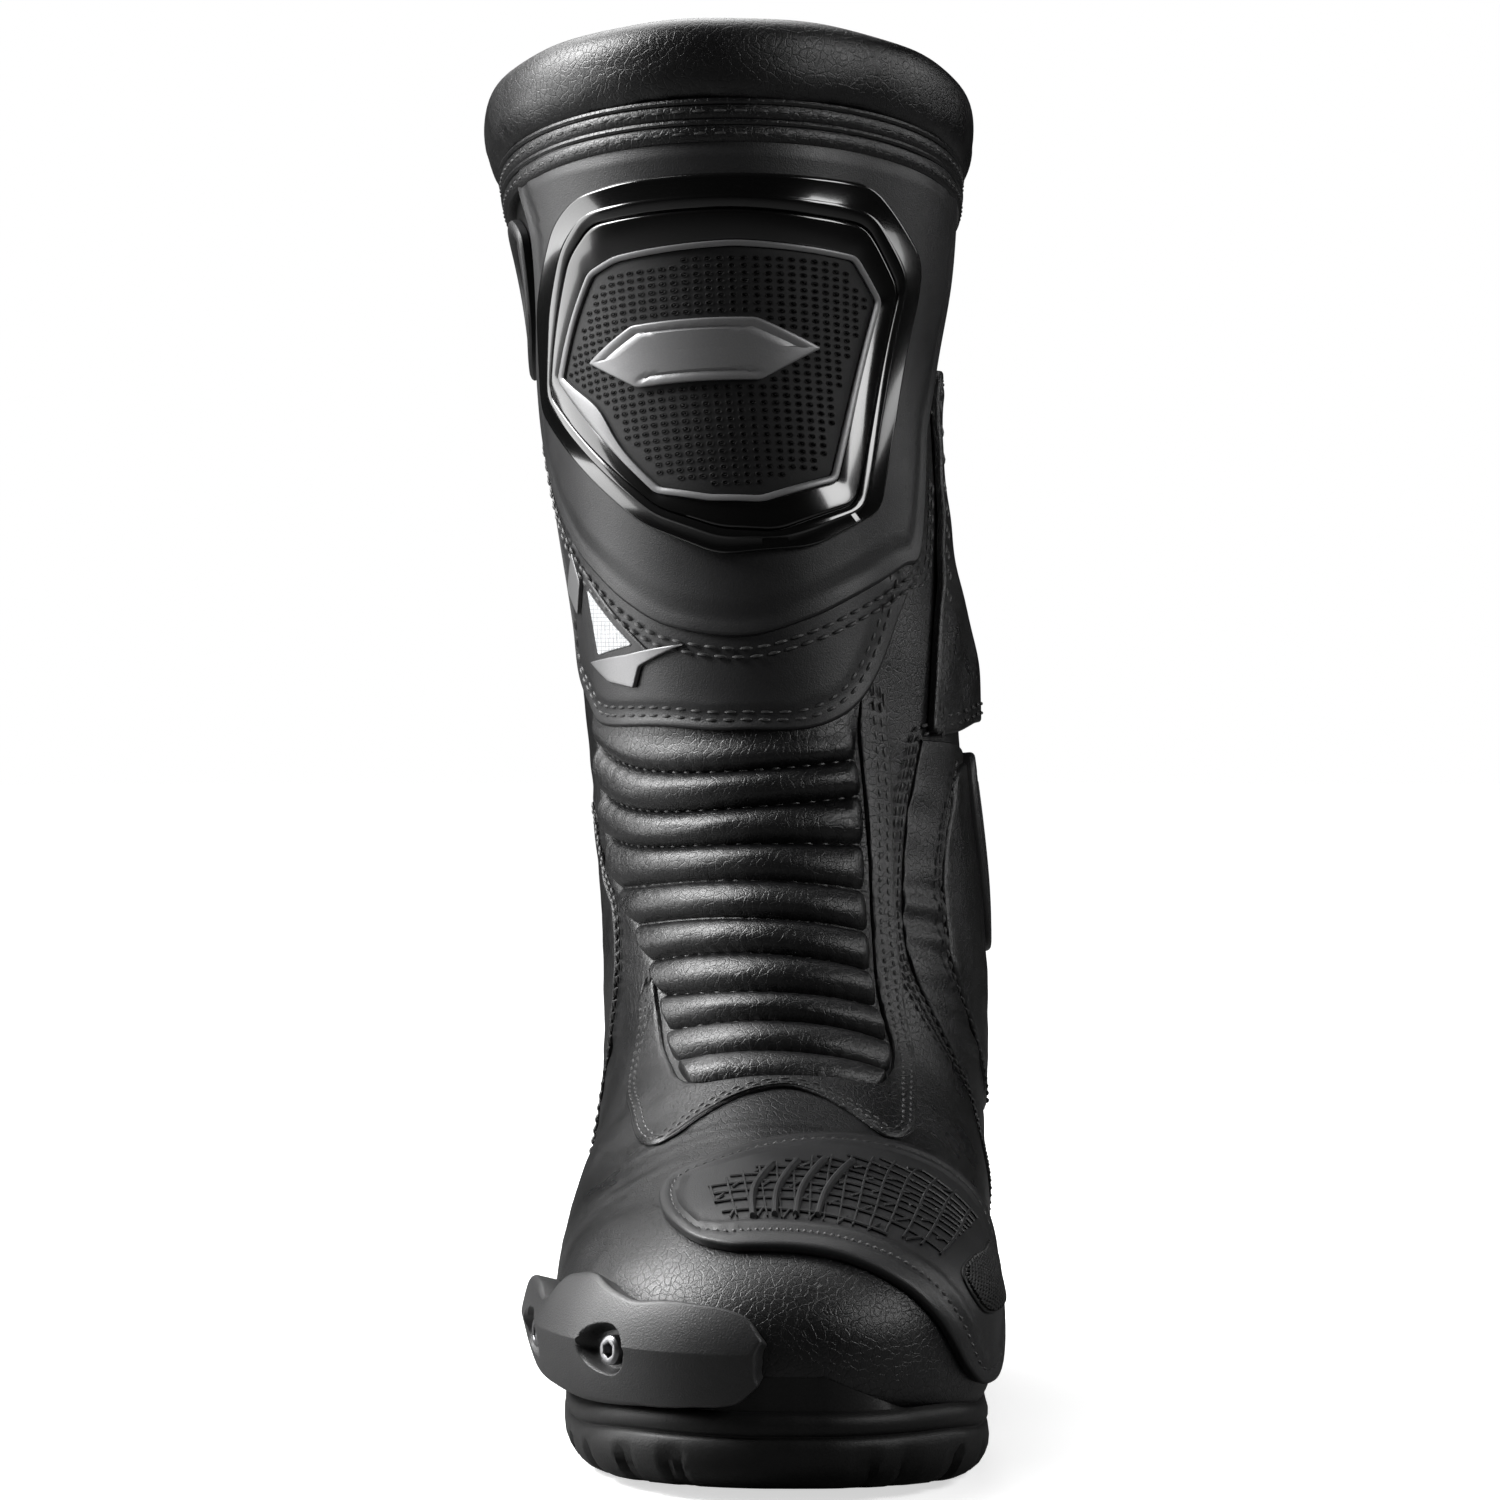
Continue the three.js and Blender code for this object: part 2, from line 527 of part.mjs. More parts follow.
// The moulded cup round the heel: low in front, up to the flexing ankle behind.
const HEEL_CUP_FRONT = 0.6;   // v of its front edges
const heelCupBlock = upTo((v) => footEdge(Math.abs(v)) - 0.12)
  .intersect(band(3.6, 8, HEEL_CUP_FRONT, 2 - HEEL_CUP_FRONT, -3, 10, 8, 10))
  .subtract(upTo((v) => 4.1 + 3.6 * Math.abs(v) * (1 - Math.abs(v)) + 1.42 * Math.abs(v)));
const heelCup = heelCupBlock.intersect(envelope(HEEL_CUP)).subtract(envelope(GAP));
const bySize = (a, b) => b.volume() - a.volume();
add("heel_cup", heelCup.decompose().sort(bySize)[0], PLATE_MATTE);

// The overlay that frames the ribs: down one side, under them in an arch, and up again.
const INSTEP_RIM = 1.4;
const RIB_FOOT = 4.05;        // the ribs start above the overlay's arch
const OVERLAY_EDGE = [[6.3, -0.205], [5.5, -0.203], [4.6, -0.205], [3.8, -0.214],
  [3.2, -0.216], [2.95, -0.19], [3.05, -0.15], [3.36, -0.099], [3.62, -0.046], [3.72, 0],
  [3.6, 0.04], [3.33, 0.088], [3.05, 0.14], [3.02, 0.175], [3.35, 0.19], [3.9, 0.168],
  [4.7, 0.14], [5.5, 0.125], [6.3, 0.125], [6.36, 0], [6.36, -0.12]];
function overlay() {
  const ribs = (a, b) => {
    const s = RIB_FOOT + 3 * a;
    const from = ribOuterSide(s) - SIDE_GAP;
    return [s, from + (ribInnerSide(s) + SIDE_GAP - from) * b];
  };
  return disc(outline(OVERLAY_EDGE, 0, 44), -2, INSTEP_RIM + 3, 4).intersect(envelope(INSTEP_RIM))
    .subtract(envelope(GAP)).subtract(slab(ribs, 8, 6, -5, 8));
}
add("instep_overlay", overlay(), LEATHER_BLACK);

// ---------------------------------------------------------------- the flexing ankle
const ankleWall = outer.intersect(ankleBlock);
const RIB_BULGE = 2;
const ribWall = layer(-LEATHER, RIB_BULGE).intersect(ankleBlock)
  .subtract(upTo(() => RIB_FOOT + 0.25));
add("rib_panel", ribWall.intersect(ankleSector(ribOuterSide, ribInnerSide)), LEATHER_BLACK);
const under = ankleWall.subtract(upTo(() => 3.4));
add("ankle_side_inner", under.intersect(ankleSector(ribInnerSide, () => ACHILLES)), LEATHER_BLACK);
add("ankle_side_outer", under.intersect(ankleSector(() => -ACHILLES, ribOuterSide)), LEATHER_BLACK);
add("achilles_bellows", under.intersect(ankleSector(() => ACHILLES, () => 2 - ACHILLES)), LEATHER_BLACK);
add("ankle_lining", lining.intersect(ankleBlock), LINING_BLACK);

// ---------------------------------------------------------------- the shaft
const ZIP = { v: 0.7, from: 9.0, to: 13.3, endDepth: -2.8 };
const zipBottom = skin(ZIP.from, ZIP.v, ZIP.endDepth);
const zipTop = skin(ZIP.to, ZIP.v, ZIP.endDepth);
const ZIP_LENGTH = zipTop.distanceTo(zipBottom);
const zipUp = zipTop.clone().sub(zipBottom).normalize();
const zipOut = normal((ZIP.from + ZIP.to) / 2, ZIP.v);
zipOut.addScaledVector(zipUp, -zipOut.dot(zipUp)).normalize();
const zipSide = zipUp.clone().cross(zipOut);
const zipFrame = new THREE.Matrix4().makeBasis(zipSide, zipUp, zipOut).setPosition(zipBottom);

// A block in the zip's own frame: x across it, y up along it, z outwards.
function zipBox(low, high) {
  const size = high.map((value, k) => value - low[k]);
  const geometry = new THREE.BoxGeometry(...size);
  geometry.translate(...low.map((value, k) => value + size[k] / 2));
  return placed(geometry, zipFrame);
}
const SLOT_END = 3;           // the opening runs past both ends of the tape
const SLOT_FLOOR = -1.6;      // below the tape, clear of the lining
const slot = zipBox([-ZIP_SLOT / 2, -SLOT_END, SLOT_FLOOR],
  [ZIP_SLOT / 2, ZIP_LENGTH + SLOT_END, 12]);
const shaftWall = outer.subtract(shaftStart);
add("shaft_shell", shaftWall.subtract(slot), LEATHER_BLACK);
add("shaft_lining", lining.subtract(shaftStart), LINING_BLACK);
const shinFoamBlock = band(9.3, 13.6, -0.4, 0.36, CUT_DEPTH, 3, 8, 8);
add("shin_foam", stiffener.intersect(shinFoamBlock), FOAM);

const TAPE = 0.8;
const TOOTH = { width: 2.2, height: 1.6 };
const tapeInner = CHAIN_GAP / 2 + TOOTH.width + GAP;
const tapeOuter = ZIP_SLOT / 2 - GAP;
for (const [name, side] of [["front", -1], ["rear", 1]]) {
  const tape = [side * tapeInner, side * tapeOuter].sort((a, b) => a - b);
  add(`zip_tape_${name}`, zipBox([tape[0], 0, -TAPE / 2], [tape[1], ZIP_LENGTH, TAPE / 2]), WEB);
  const tooth = [side * CHAIN_GAP / 2, side * (tapeInner - GAP)].sort((a, b) => a - b);
  add(`zip_teeth_${name}`, zipBox([tooth[0], 4, -TOOTH.height / 2],
    [tooth[1], ZIP_LENGTH - 1, TOOTH.height / 2]), RUBBER_BLACK);
}
add("zip_stop", zipBox([-3.4, 0.5, -0.8], [3.4, 3.6, 0.8])
  .subtract(zipBox([tapeInner - GAP, 0, -2], [4, 5, 2]))
  .subtract(zipBox([-4, 0, -2], [-tapeInner + GAP, 5, 2])), STEEL);

const SLIDER = { half: 4.4, length: 11, plate: 0.9, web: 0.6, below: 1.3, webFrom: 6, footHalf: 2.6 };
const sliderLow = ZIP_LENGTH - 1 - SLIDER.length;
const sliderFloor = TOOTH.height / 2 + GAP;
function zipSlider() {
  const end = sliderLow + SLIDER.length;
  const webLow = sliderLow + SLIDER.webFrom;
  const top = zipBox([-SLIDER.half, sliderLow, sliderFloor],
    [SLIDER.half, end, sliderFloor + SLIDER.plate]);
  const web = zipBox([-SLIDER.web / 2, webLow, -SLIDER.below],
    [SLIDER.web / 2, end - 1, sliderFloor + 0.2]);
  const foot = zipBox([-SLIDER.footHalf, webLow, -SLIDER.below - 0.1],
    [SLIDER.footHalf, end - 1, -sliderFloor + 0.05]);
  return top.add(web).add(foot);
}
add("zip_slider", zipSlider(), STEEL);
const PULL = { width: 6, length: 20, thick: 1.1, fromEnd: 2, eye: { from: 3, to: 9, half: 1.6 } };
const pullFloor = sliderFloor + SLIDER.plate + GAP;
function zipPull() {
  const topEnd = sliderLow + SLIDER.length - PULL.fromEnd;
  const bar = zipBox([-PULL.width / 2, topEnd - PULL.length, pullFloor],
    [PULL.width / 2, topEnd, pullFloor + PULL.thick]);
  const low = topEnd - PULL.length;
  const { from, to, half } = PULL.eye;
  return bar.subtract(zipBox([-half, low + from, 0], [half, low + to, 2 * pullFloor + PULL.thick]));
}
add("zip_pull", zipPull(), STEEL);

const STRIP = [0.755, 0.795];
const LOOP_THICK = 1.4;
const stripMap = (a, b) => [9.95 + 1.9 * a, STRIP[0] + (STRIP[1] - STRIP[0]) * b];
const loopBlock = slab(stripMap, 5, 1, -4, 8);
add("loop_strip", loopBlock.intersect(envelope(LOOP_THICK)).subtract(envelope(GAP)), WEB);
const FLAP_EDGE = [[12.2, 0.42], [11.35, 0.4], [10.6, 0.335], [9.95, 0.286], [9.3, 0.25],
  [9.12, 0.25], [9.23, 0.33], [9.45, 0.45], [9.62, 0.6], [9.75, 0.74], [10.1, 0.8],
  [11.2, 0.805], [11.9, 0.78], [12.2, 0.66], [12.3, 0.52]];
const FLAP_SEAT = 1.4;
function flapLift(s, v) {
  const overZip = THREE.MathUtils.smoothstep(v, 0.5, 0.64);
  const bulge = Math.exp(-(((s - 9.9) / 0.9) ** 2) - ((v - 0.5) / 0.1) ** 2);
  return Math.max(FLAP_SEAT + (FLAP_STAND_OFF - FLAP_SEAT) * overZip, FLAP_SEAT + 3.4 * bulge);
}
const flapFace = (s, v) => flapLift(s, v) + FLAP;
add("zip_flap", disc(outline(FLAP_EDGE, 0, 30), flapLift, flapFace, 4), LEATHER_BLACK);
add("hook_strip", slab(stripMap, 5, 1, LOOP_THICK + 2 * GAP, FLAP_STAND_OFF - 3 * GAP), WEB);

// ---------------------------------------------------------------- guards on the shaft
const UPPER_PLATE_EDGE = [[13.85, -0.33], [13.88, -0.16], [13.88, 0], [13.87, 0.2],
  [13.85, 0.38], [13.2, 0.41], [12.16, 0.36], [11.58, 0.305], [11.2, 0.286], [10.55, 0.248],
  [10.4, 0.203], [10.11, 0.123], [9.87, 0.051], [9.73, -0.03], [9.86, -0.124],
  [10.11, -0.189], [10.43, -0.253], [10.72, -0.31], [11.3, -0.4], [11.7, -0.43],
  [12.1, -0.4], [12.6, -0.34], [13.2, -0.315]];
const LOWER_PLATE_EDGE = [[11.2, -0.465], [10.6, -0.426], [10.2, -0.408], [9.84, -0.41],
  [9.5, -0.35], [9.26, -0.298], [9.07, -0.158], [8.97, -0.086], [8.95, -0.036],
  [8.94, 0.006], [8.98, 0.048], [9.13, 0.093], [9.4, 0.134], [9.92, 0.184], [10.35, 0.215],
  [10.6, 0.1], [10.6, -0.15], [11.0, -0.35], [11.3, -0.43]];
add("upper_shin_plate", plate(outline(UPPER_PLATE_EDGE, 0, 40), GAP, SHIN_PLATE, 4), PLATE_MATTE);
const PLATE_LAP = 1;          // room left round the upper plate
const underUpper = disc(outline(UPPER_PLATE_EDGE, -PLATE_LAP, 40), -12, 16, 4);
add("lower_shin_plate", plate(outline(LOWER_PLATE_EDGE, 0, 36), GAP, SHIN_PLATE)
  .subtract(underUpper), PLATE_MATTE);

const FRAME_EDGE = [[13.3, -0.262], [13.37, -0.19], [13.38, -0.09], [13.38, 0.03],
  [13.36, 0.136], [13.28, 0.216], [13.05, 0.256], [12.7, 0.285], [11.79, 0.254],
  [10.9, 0.18], [10.7, 0.15], [10.55, 0.096], [10.41, -0.019], [10.53, -0.104],
  [10.78, -0.178], [11.13, -0.239], [11.83, -0.323], [12.25, -0.348], [12.75, -0.31]];
const INNER_EDGE = [[13.02, -0.203], [13.07, -0.1], [13.07, 0.02], [13.03, 0.156],
  [12.93, 0.186], [12.55, 0.228], [11.6, 0.19], [10.98, 0.136], [10.78, 0.091],
  [10.62, -0.026], [10.94, -0.141], [11.44, -0.233], [11.94, -0.315], [12.38, -0.273]];
const TRIM_EDGE = [[12.79, -0.198], [12.87, -0.09], [12.87, 0.03], [12.83, 0.156],
  [12.51, 0.196], [11.7, 0.155], [11.01, 0.106], [10.78, 0.04], [10.75, -0.028],
  [11.12, -0.166], [11.5, -0.225], [12.01, -0.265]];
const TRIM_WIDTH = 2.6;
const onPlate = SHIN_PLATE + GAP;
const insertTop = onPlate + 1.2;
const ringGap = 2 * GAP;
const innerEdge = outline(INNER_EDGE, 0, 30);
const trimEdge = outline(TRIM_EDGE, 0, 26);
add("outer_shin_frame", framePlate(outline(FRAME_EDGE, 0, 34), outline(INNER_EDGE, -ringGap, 30),
  onPlate, onPlate + FRAME_HEIGHT), FRAME_GLOSS);
add("inner_shin_frame", framePlate(innerEdge, outline(TRIM_EDGE, -ringGap, 26),
  onPlate, onPlate + FRAME_HEIGHT - 0.8), FRAME_GLOSS);
add("shin_trim_ring", framePlate(trimEdge, outline(TRIM_EDGE, TRIM_WIDTH, 26),
  onPlate, onPlate + 2), SATIN_GREY);
add("shin_insert", plate(outline(TRIM_EDGE, TRIM_WIDTH + ringGap, 26), onPlate, insertTop), PLATE_MATTE);
const BADGE_EDGE = [[12.2, -0.2], [12.32, -0.12], [12.2, -0.02], [11.85, 0.05], [11.72, -0.03],
  [11.85, -0.13]];
add("shin_badge", plate(outline(BADGE_EDGE, 0, 18), insertTop + GAP, insertTop + 1.8), SATIN_GREY);
const REFLECTOR_EDGE = [[10.33, -0.273], [10.1, -0.273], [9.82, -0.272], [9.76, -0.23],
  [9.75, -0.19], [10, -0.22]];
add("reflector", plate(outline(REFLECTOR_EDGE, 0, 18), onPlate, onPlate + 0.8), REFLECTIVE_WHITE);
const LOWER_BLADE = [[9.71, -0.285], [9.72, -0.2], [9.7, -0.11], [9.6, -0.16], [9.5, -0.2],
  [9.6, -0.25]];
const UPPER_BLADE = [[10.62, -0.33], [10.5, -0.31], [10.3, -0.33], [10.3, -0.37], [10.5, -0.39]];
add("accent_blade_lower", plate(outline(LOWER_BLADE, 0, 16), onPlate, onPlate + 1), SATIN_GREY);
add("accent_blade_upper", plate(outline(UPPER_BLADE, 0, 16), onPlate, onPlate + 1), SATIN_GREY);

const VENT_EDGE = [[13.8, -0.45], [13.5, -0.375], [13.1, -0.365], [12.6, -0.39], [12.35, -0.46],
  [12.4, -0.56], [13, -0.6], [13.65, -0.56]];
add("side_vent_bezel", framePlate(outline(VENT_EDGE, 0, 22), outline(VENT_EDGE, 5, 20),
  GAP, 3), PLATE_MATTE);
add("side_vent_mesh", plate(outline(VENT_EDGE, 5 + ringGap, 20), GAP, 1.3), RUBBER_BLACK);
const GUARD_EDGE = [[9.1, 0.42], [8.5, 0.4], [7.8, 0.42], [7.45, 0.47], [7.5, 0.55],
  [7.9, 0.61], [8.6, 0.62], [9.1, 0.58], [9.25, 0.5]];
add("ankle_guard", plate(outline(GUARD_EDGE, 0, 24), GAP, GUARD_HEIGHT), PLATE_MATTE);
const CALF_EDGE = [[13.1, 0.86], [13.2, 1], [13.1, 1.14], [11.5, 1.16], [10, 1.12], [9.5, 1],
  [10, 0.88], [11.5, 0.84]];
add("calf_guard", plate(outline(CALF_EDGE, 0, 28), GAP, 2.6), PLATE_MATTE);

// A webbing loop behind the shaft, under the collar, to pull the boot on with.
const LOOP_STATION = 12.9;
const LOOP = { width: 20, long: 40, deep: 12, web: 1.5 };
function pullLoop() {
  const face = new THREE.Shape();
  const half = LOOP.long / 2;
  face.absarc(half - LOOP.deep / 2, LOOP.deep / 2, LOOP.deep / 2, -Math.PI / 2, Math.PI / 2);
  face.absarc(LOOP.deep / 2 - half, LOOP.deep / 2, LOOP.deep / 2, Math.PI / 2, 1.5 * Math.PI);
  const inside = new THREE.Path();
  const radius = LOOP.deep / 2 - LOOP.web;
  inside.absarc(half - LOOP.deep / 2, LOOP.deep / 2, radius, -Math.PI / 2, Math.PI / 2);
  inside.absarc(LOOP.deep / 2 - half, LOOP.deep / 2, radius, Math.PI / 2, 1.5 * Math.PI);
  face.holes.push(inside);
  const settings = { depth: LOOP.width, bevelEnabled: false, curveSegments: 6 };
  const geometry = new THREE.ExtrudeGeometry(face, settings);
  geometry.translate(0, 0, -LOOP.width / 2).rotateY(Math.PI / 2).rotateX(Math.PI / 2);
  return placed(geometry, seat(LOOP_STATION, 1));
}
add("pull_loop", pullLoop().subtract(envelope(3 + GAP)), WEB);

// The padded roll that closes the top.
function collar() {
  const around = 30;
  const section = 12;
  const points = [];
  const triangles = [];
  for (let i = 0; i < around; i += 1) {
    const v = (2 * i) / around - 1;
    const rim = skin(TOP, v, 0);
    const out = normal(TOP, v);
    const rise = surface(TOP, v).sub(surface(TOP - 0.2, v)).normalize();
    const middle = rim.addScaledVector(rise, GAP + COLLAR_HEIGHT / 2).addScaledVector(out, -3.5);
    for (let k = 0; k < section; k += 1) {
      const turn = (2 * Math.PI * k) / section;
      const flat = (c) => Math.sign(c) * Math.abs(c) ** 0.8;
      points.push(middle.clone().addScaledVector(out, flat(Math.cos(turn)) * COLLAR_DEPTH / 2)
        .addScaledVector(rise, flat(Math.sin(turn)) * COLLAR_HEIGHT / 2));
    }
  }
  for (let i = 0; i < around; i += 1) {
    for (let k = 0; k < section; k += 1) {
      const a = i * section + k;
      const b = ((i + 1) % around) * section + k;
      const c = i * section + (k + 1) % section;
      const d = ((i + 1) % around) * section + (k + 1) % section;
      triangles.push([a, b, d], [a, d, c]);
    }
  }
  return solid(points, triangles).subtract(envelope(GAP));
}
add("collar_pad", collar(), LEATHER_BLACK);

export default object;
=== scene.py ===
# %% [markdown]
# # A motorcycle racing boot
# A right boot, seen from the toe: rubber sole, grained leather upper, ribbed instep,
# moulded shin guard with gloss frames, padded collar, toe slider and a zip under a flap.
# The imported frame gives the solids, the bodies and the joints. Everything here is built
# round it, in metres, in the frame's own axes: +Z up, toe towards -Y, inner side +X.

# %% Load the frame
import bpy
import numpy as np
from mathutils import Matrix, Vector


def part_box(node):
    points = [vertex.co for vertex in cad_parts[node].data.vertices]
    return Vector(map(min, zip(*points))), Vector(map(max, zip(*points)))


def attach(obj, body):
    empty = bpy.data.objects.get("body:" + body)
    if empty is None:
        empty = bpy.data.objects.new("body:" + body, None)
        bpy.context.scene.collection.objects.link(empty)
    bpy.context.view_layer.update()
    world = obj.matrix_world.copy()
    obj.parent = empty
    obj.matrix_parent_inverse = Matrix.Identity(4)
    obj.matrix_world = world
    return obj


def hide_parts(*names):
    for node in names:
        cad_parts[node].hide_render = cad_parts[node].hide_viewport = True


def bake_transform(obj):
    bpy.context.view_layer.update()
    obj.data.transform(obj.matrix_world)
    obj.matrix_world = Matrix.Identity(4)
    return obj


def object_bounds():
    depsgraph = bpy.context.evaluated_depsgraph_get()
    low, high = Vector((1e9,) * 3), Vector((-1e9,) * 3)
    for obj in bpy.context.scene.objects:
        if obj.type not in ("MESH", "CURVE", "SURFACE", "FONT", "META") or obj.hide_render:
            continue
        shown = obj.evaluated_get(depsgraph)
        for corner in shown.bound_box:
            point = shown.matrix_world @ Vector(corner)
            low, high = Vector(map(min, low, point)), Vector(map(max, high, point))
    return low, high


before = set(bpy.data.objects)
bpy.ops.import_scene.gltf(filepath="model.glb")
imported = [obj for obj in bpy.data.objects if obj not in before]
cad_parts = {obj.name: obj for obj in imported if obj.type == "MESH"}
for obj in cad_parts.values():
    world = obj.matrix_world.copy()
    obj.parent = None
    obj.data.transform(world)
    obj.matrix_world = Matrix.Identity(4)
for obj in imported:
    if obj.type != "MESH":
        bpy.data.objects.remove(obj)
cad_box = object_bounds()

MM = 0.001

# %% [markdown]
# ## Camera, light and floor
# The camera looks straight at the toe from a metre and a half, a little above the ankle.
# The lens shift frames the whole boot without tilting, so upright lines stay upright.
# Two tall soft boxes stand left and right of the boot, one hangs over it, and two small
# ones polish the toe. The front stays dark, which is what makes black leather and gloss
# plastic readable: their sides catch the boxes and their middle falls away.

# %% Camera
CAMERA_X, CAMERA_Y, CAMERA_Z = -0.0073, -1.5, 0.2
lens = bpy.data.cameras.new("camera")
lens.sensor_width = 36.0
lens.lens = 128.4
lens.shift_y = -0.073
camera = bpy.data.objects.new("camera", lens)
camera.location = (CAMERA_X, CAMERA_Y, CAMERA_Z)
camera.rotation_euler = (np.pi / 2, 0.0, 0.0)
bpy.context.collection.objects.link(camera)
bpy.context.scene.camera = camera
bpy.context.scene.view_settings.view_transform = "Standard"

# %% Lights
def soft_box(name, place, target, width, height, watts):
    """A rectangle of light at place that faces target."""
    lamp = bpy.data.lights.new(name, "AREA")
    lamp.shape = "RECTANGLE"
    lamp.size = width
    lamp.size_y = height
    lamp.energy = watts
    box = bpy.data.objects.new(name, lamp)
    way = np.subtract(target, place)
    box.location = place
    yaw = np.arctan2(way[1], way[0]) - np.pi / 2
    pitch = np.arctan2(way[2], np.hypot(way[0], way[1])) + np.pi / 2
    box.rotation_euler = (pitch, 0.0, yaw)
    bpy.context.collection.objects.link(box)
    return box


soft_box("box_left", (-1.2, 0.12, 0.45), (0, -0.05, 0.2), 0.8, 1.3, 21)
soft_box("box_right", (1.2, 0.3, 0.7), (0, -0.05, 0.3), 0.4, 0.7, 3.5)
soft_box("box_over", (-0.3, 0.5, 1.3), (-0.02, -0.15, 0.1), 1.2, 1.3, 23)
soft_box("box_toe_left", (-0.75, -0.1, 0.75), (-0.04, -0.2, 0.07), 0.4, 0.4, 17)
soft_box("box_toe_right", (0.7, -0.6, 0.6), (0.02, -0.22, 0.05), 0.35, 0.35, 4.5)
world = bpy.data.worlds.new("studio")
world.use_nodes = True
world.node_tree.nodes["Background"].inputs["Color"].default_value = (1.0, 1.0, 1.0, 1.0)
bpy.context.scene.world = world
print("lights: two side boxes, one over, two for the toe, weak white surround")

# %% [markdown]
# ## The form of the boot
# Every piece lies on one surface, so it is worth having that surface as a formula. A
# section of the boot is an oval with its own roundness in front and behind. The sections
# run from the toe tip over the foot, fan round the heel and the instep, and climb the
# shaft. A point is named by its station s and by v, its way round the section: 0 at the
# front, positive on the inner side, 1 and -1 meeting at the back or under the sole.

# %% The surface, from its stations
DRAWN_REACH, DRAWN_HEIGHT, DRAWN_ANKLE = 262.0, 341.0, 89.0
FORM = np.array([
    [-262, 59, -262, 15, 0.40, 50, 52, 3.0, 2.5, 3.4],
    [-222, 66, -225, 12, 0.38, 52, 53, 1.0, 2.4, 3.4],
    [-186, 72.5, -175, 11, 0.36, 55, 53, -0.5, 2.2, 3.4],
    [-158, 80.5, -105, 15, 0.37, 56, 54, 0.5, 2.1, 3.2],
    [-140, 89, -42, 20, 0.42, 55, 54, 2.0, 2.1, 2.8],
    [-127, 99, 20, 25, 0.46, 53, 52, 3.5, 2.1, 2.4],
    [-116, 111, 38, 52, 0.48, 51, 51, 4.5, 2.1, 2.3],
    [-105, 128, 40, 82, 0.48, 51, 51, 4.5, 2.1, 2.3],
    [-96, 150, 37, 112, 0.48, 50.5, 51, 3.0, 2.1, 2.3],
    [-91, 178, 34, 143, 0.49, 50.5, 51, 0.0, 2.1, 2.3],
    [-89, 210, 37, 178, 0.49, 50.5, 52, -3.5, 2.1, 2.3],
    [-89, 244, 43, 214, 0.49, 51.5, 52, -7.0, 2.1, 2.3],
    [-89, 278, 49, 248, 0.49, 53.5, 53, -10, 2.1, 2.3],
    [-90, 310, 53, 281, 0.49, 57, 58, -11.5, 2.1, 2.3],
    [-92, 341, 56, 312, 0.49, 61, 61, -12.5, 2.1, 2.3],
])
TOP = len(FORM) - 1
reach = -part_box("foot_shell")[0][1] / MM
seam_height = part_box("shaft_shell")[1][2] / MM
for column in (0, 2):
    ahead = FORM[:, column] < 0
    FORM[ahead, column] *= reach / DRAWN_REACH
for column in (1, 3):
    high = FORM[:, column] > DRAWN_ANKLE
    rise = (seam_height - DRAWN_ANKLE) / (DRAWN_HEIGHT - DRAWN_ANKLE)
    FORM[high, column] = DRAWN_ANKLE + (FORM[high, column] - DRAWN_ANKLE) * rise
TOE_ROUND_PLAN, TOE_ROUND_SIDE = 78.0, 40.0


def station(s):
    """The rows of FORM at station s, by a Catmull-Rom curve through each column."""
    rows = np.vstack([2 * FORM[0] - FORM[1], FORM, 2 * FORM[-1] - FORM[-2]])
    k = np.clip(np.floor(s).astype(int), 0, TOP - 1)
    t = (s - k)[..., None]
    before, a, b, after = rows[k], rows[k + 1], rows[k + 2], rows[k + 3]
    return a + 0.5 * t * (b - before + t * (2 * before - 5 * a + 4 * b - after
                                            + t * (3 * (a - b) + after - before)))


def surface(s, v):
    """Points on the leather, in mm. In its own plane a section is the superellipse
    (cos/deep)^n + (sin/wide)^n = 1, whose power n goes from the front's to the back's
    roundness; near the toe both half sizes shrink as a rounded cap."""
    s, v = np.broadcast_arrays(np.asarray(s, float), np.asarray(v, float))
    ty, tz, by, bz, widest, outer, inner, centre, front, back = np.moveaxis(station(s), -1, 0)
    tip = np.maximum(ty + reach, 0)
    plan = 1 - np.minimum(tip / TOE_ROUND_PLAN, 1)
    side = 1 - np.minimum(tip / TOE_ROUND_SIDE, 1)
    plan_share = (1 - plan ** 2.3) ** (1 / 2.3)
    side_share = (1 - side ** 2.4) ** (1 / 2.4)
    angle = np.pi * v
    behind = (1 - np.cos(angle)) / 2
    length = np.hypot(ty - by, tz - bz)
    dir_y, dir_z = (ty - by) / length, (tz - bz) / length
    deep = ((1 - widest) + (2 * widest - 1) * behind) * length * side_share
    wide = ((outer + inner) / 2 + (inner - outer) / 2 * np.sin(angle)) * plan_share
    power = front + (back - front) * behind
    cos = np.abs(np.cos(angle)) / np.maximum(deep, 0.01)
    sin = np.abs(np.sin(angle)) / np.maximum(wide, 0.01)
    radius = (cos ** power + sin ** power) ** (-1 / power)
    out = radius * np.cos(angle)
    return np.stack([centre + radius * np.sin(angle), by + (widest * length + out) * dir_y,
                     bz + (widest * length + out) * dir_z], -1)


def normal(s, v):
    """The outward direction, from the cross product of the surface's two slopes."""
    s, v = np.broadcast_arrays(np.maximum(np.asarray(s, float), 0.03), np.asarray(v, float))
    step = 0.01
    along = surface(s + step, v) - surface(s - step, v)
    round_ = surface(s, v + step) - surface(s, v - step)
    way = np.cross(round_, along)
    return way / np.linalg.norm(way, axis=-1, keepdims=True)


def skin(s, v, lift):
    """The surface moved outwards by lift mm."""
    return surface(s, v) + normal(s, v) * np.asarray(lift, float)[..., None]


print("form: toe reach", round(reach), "mm, collar seam", round(seam_height), "mm up")

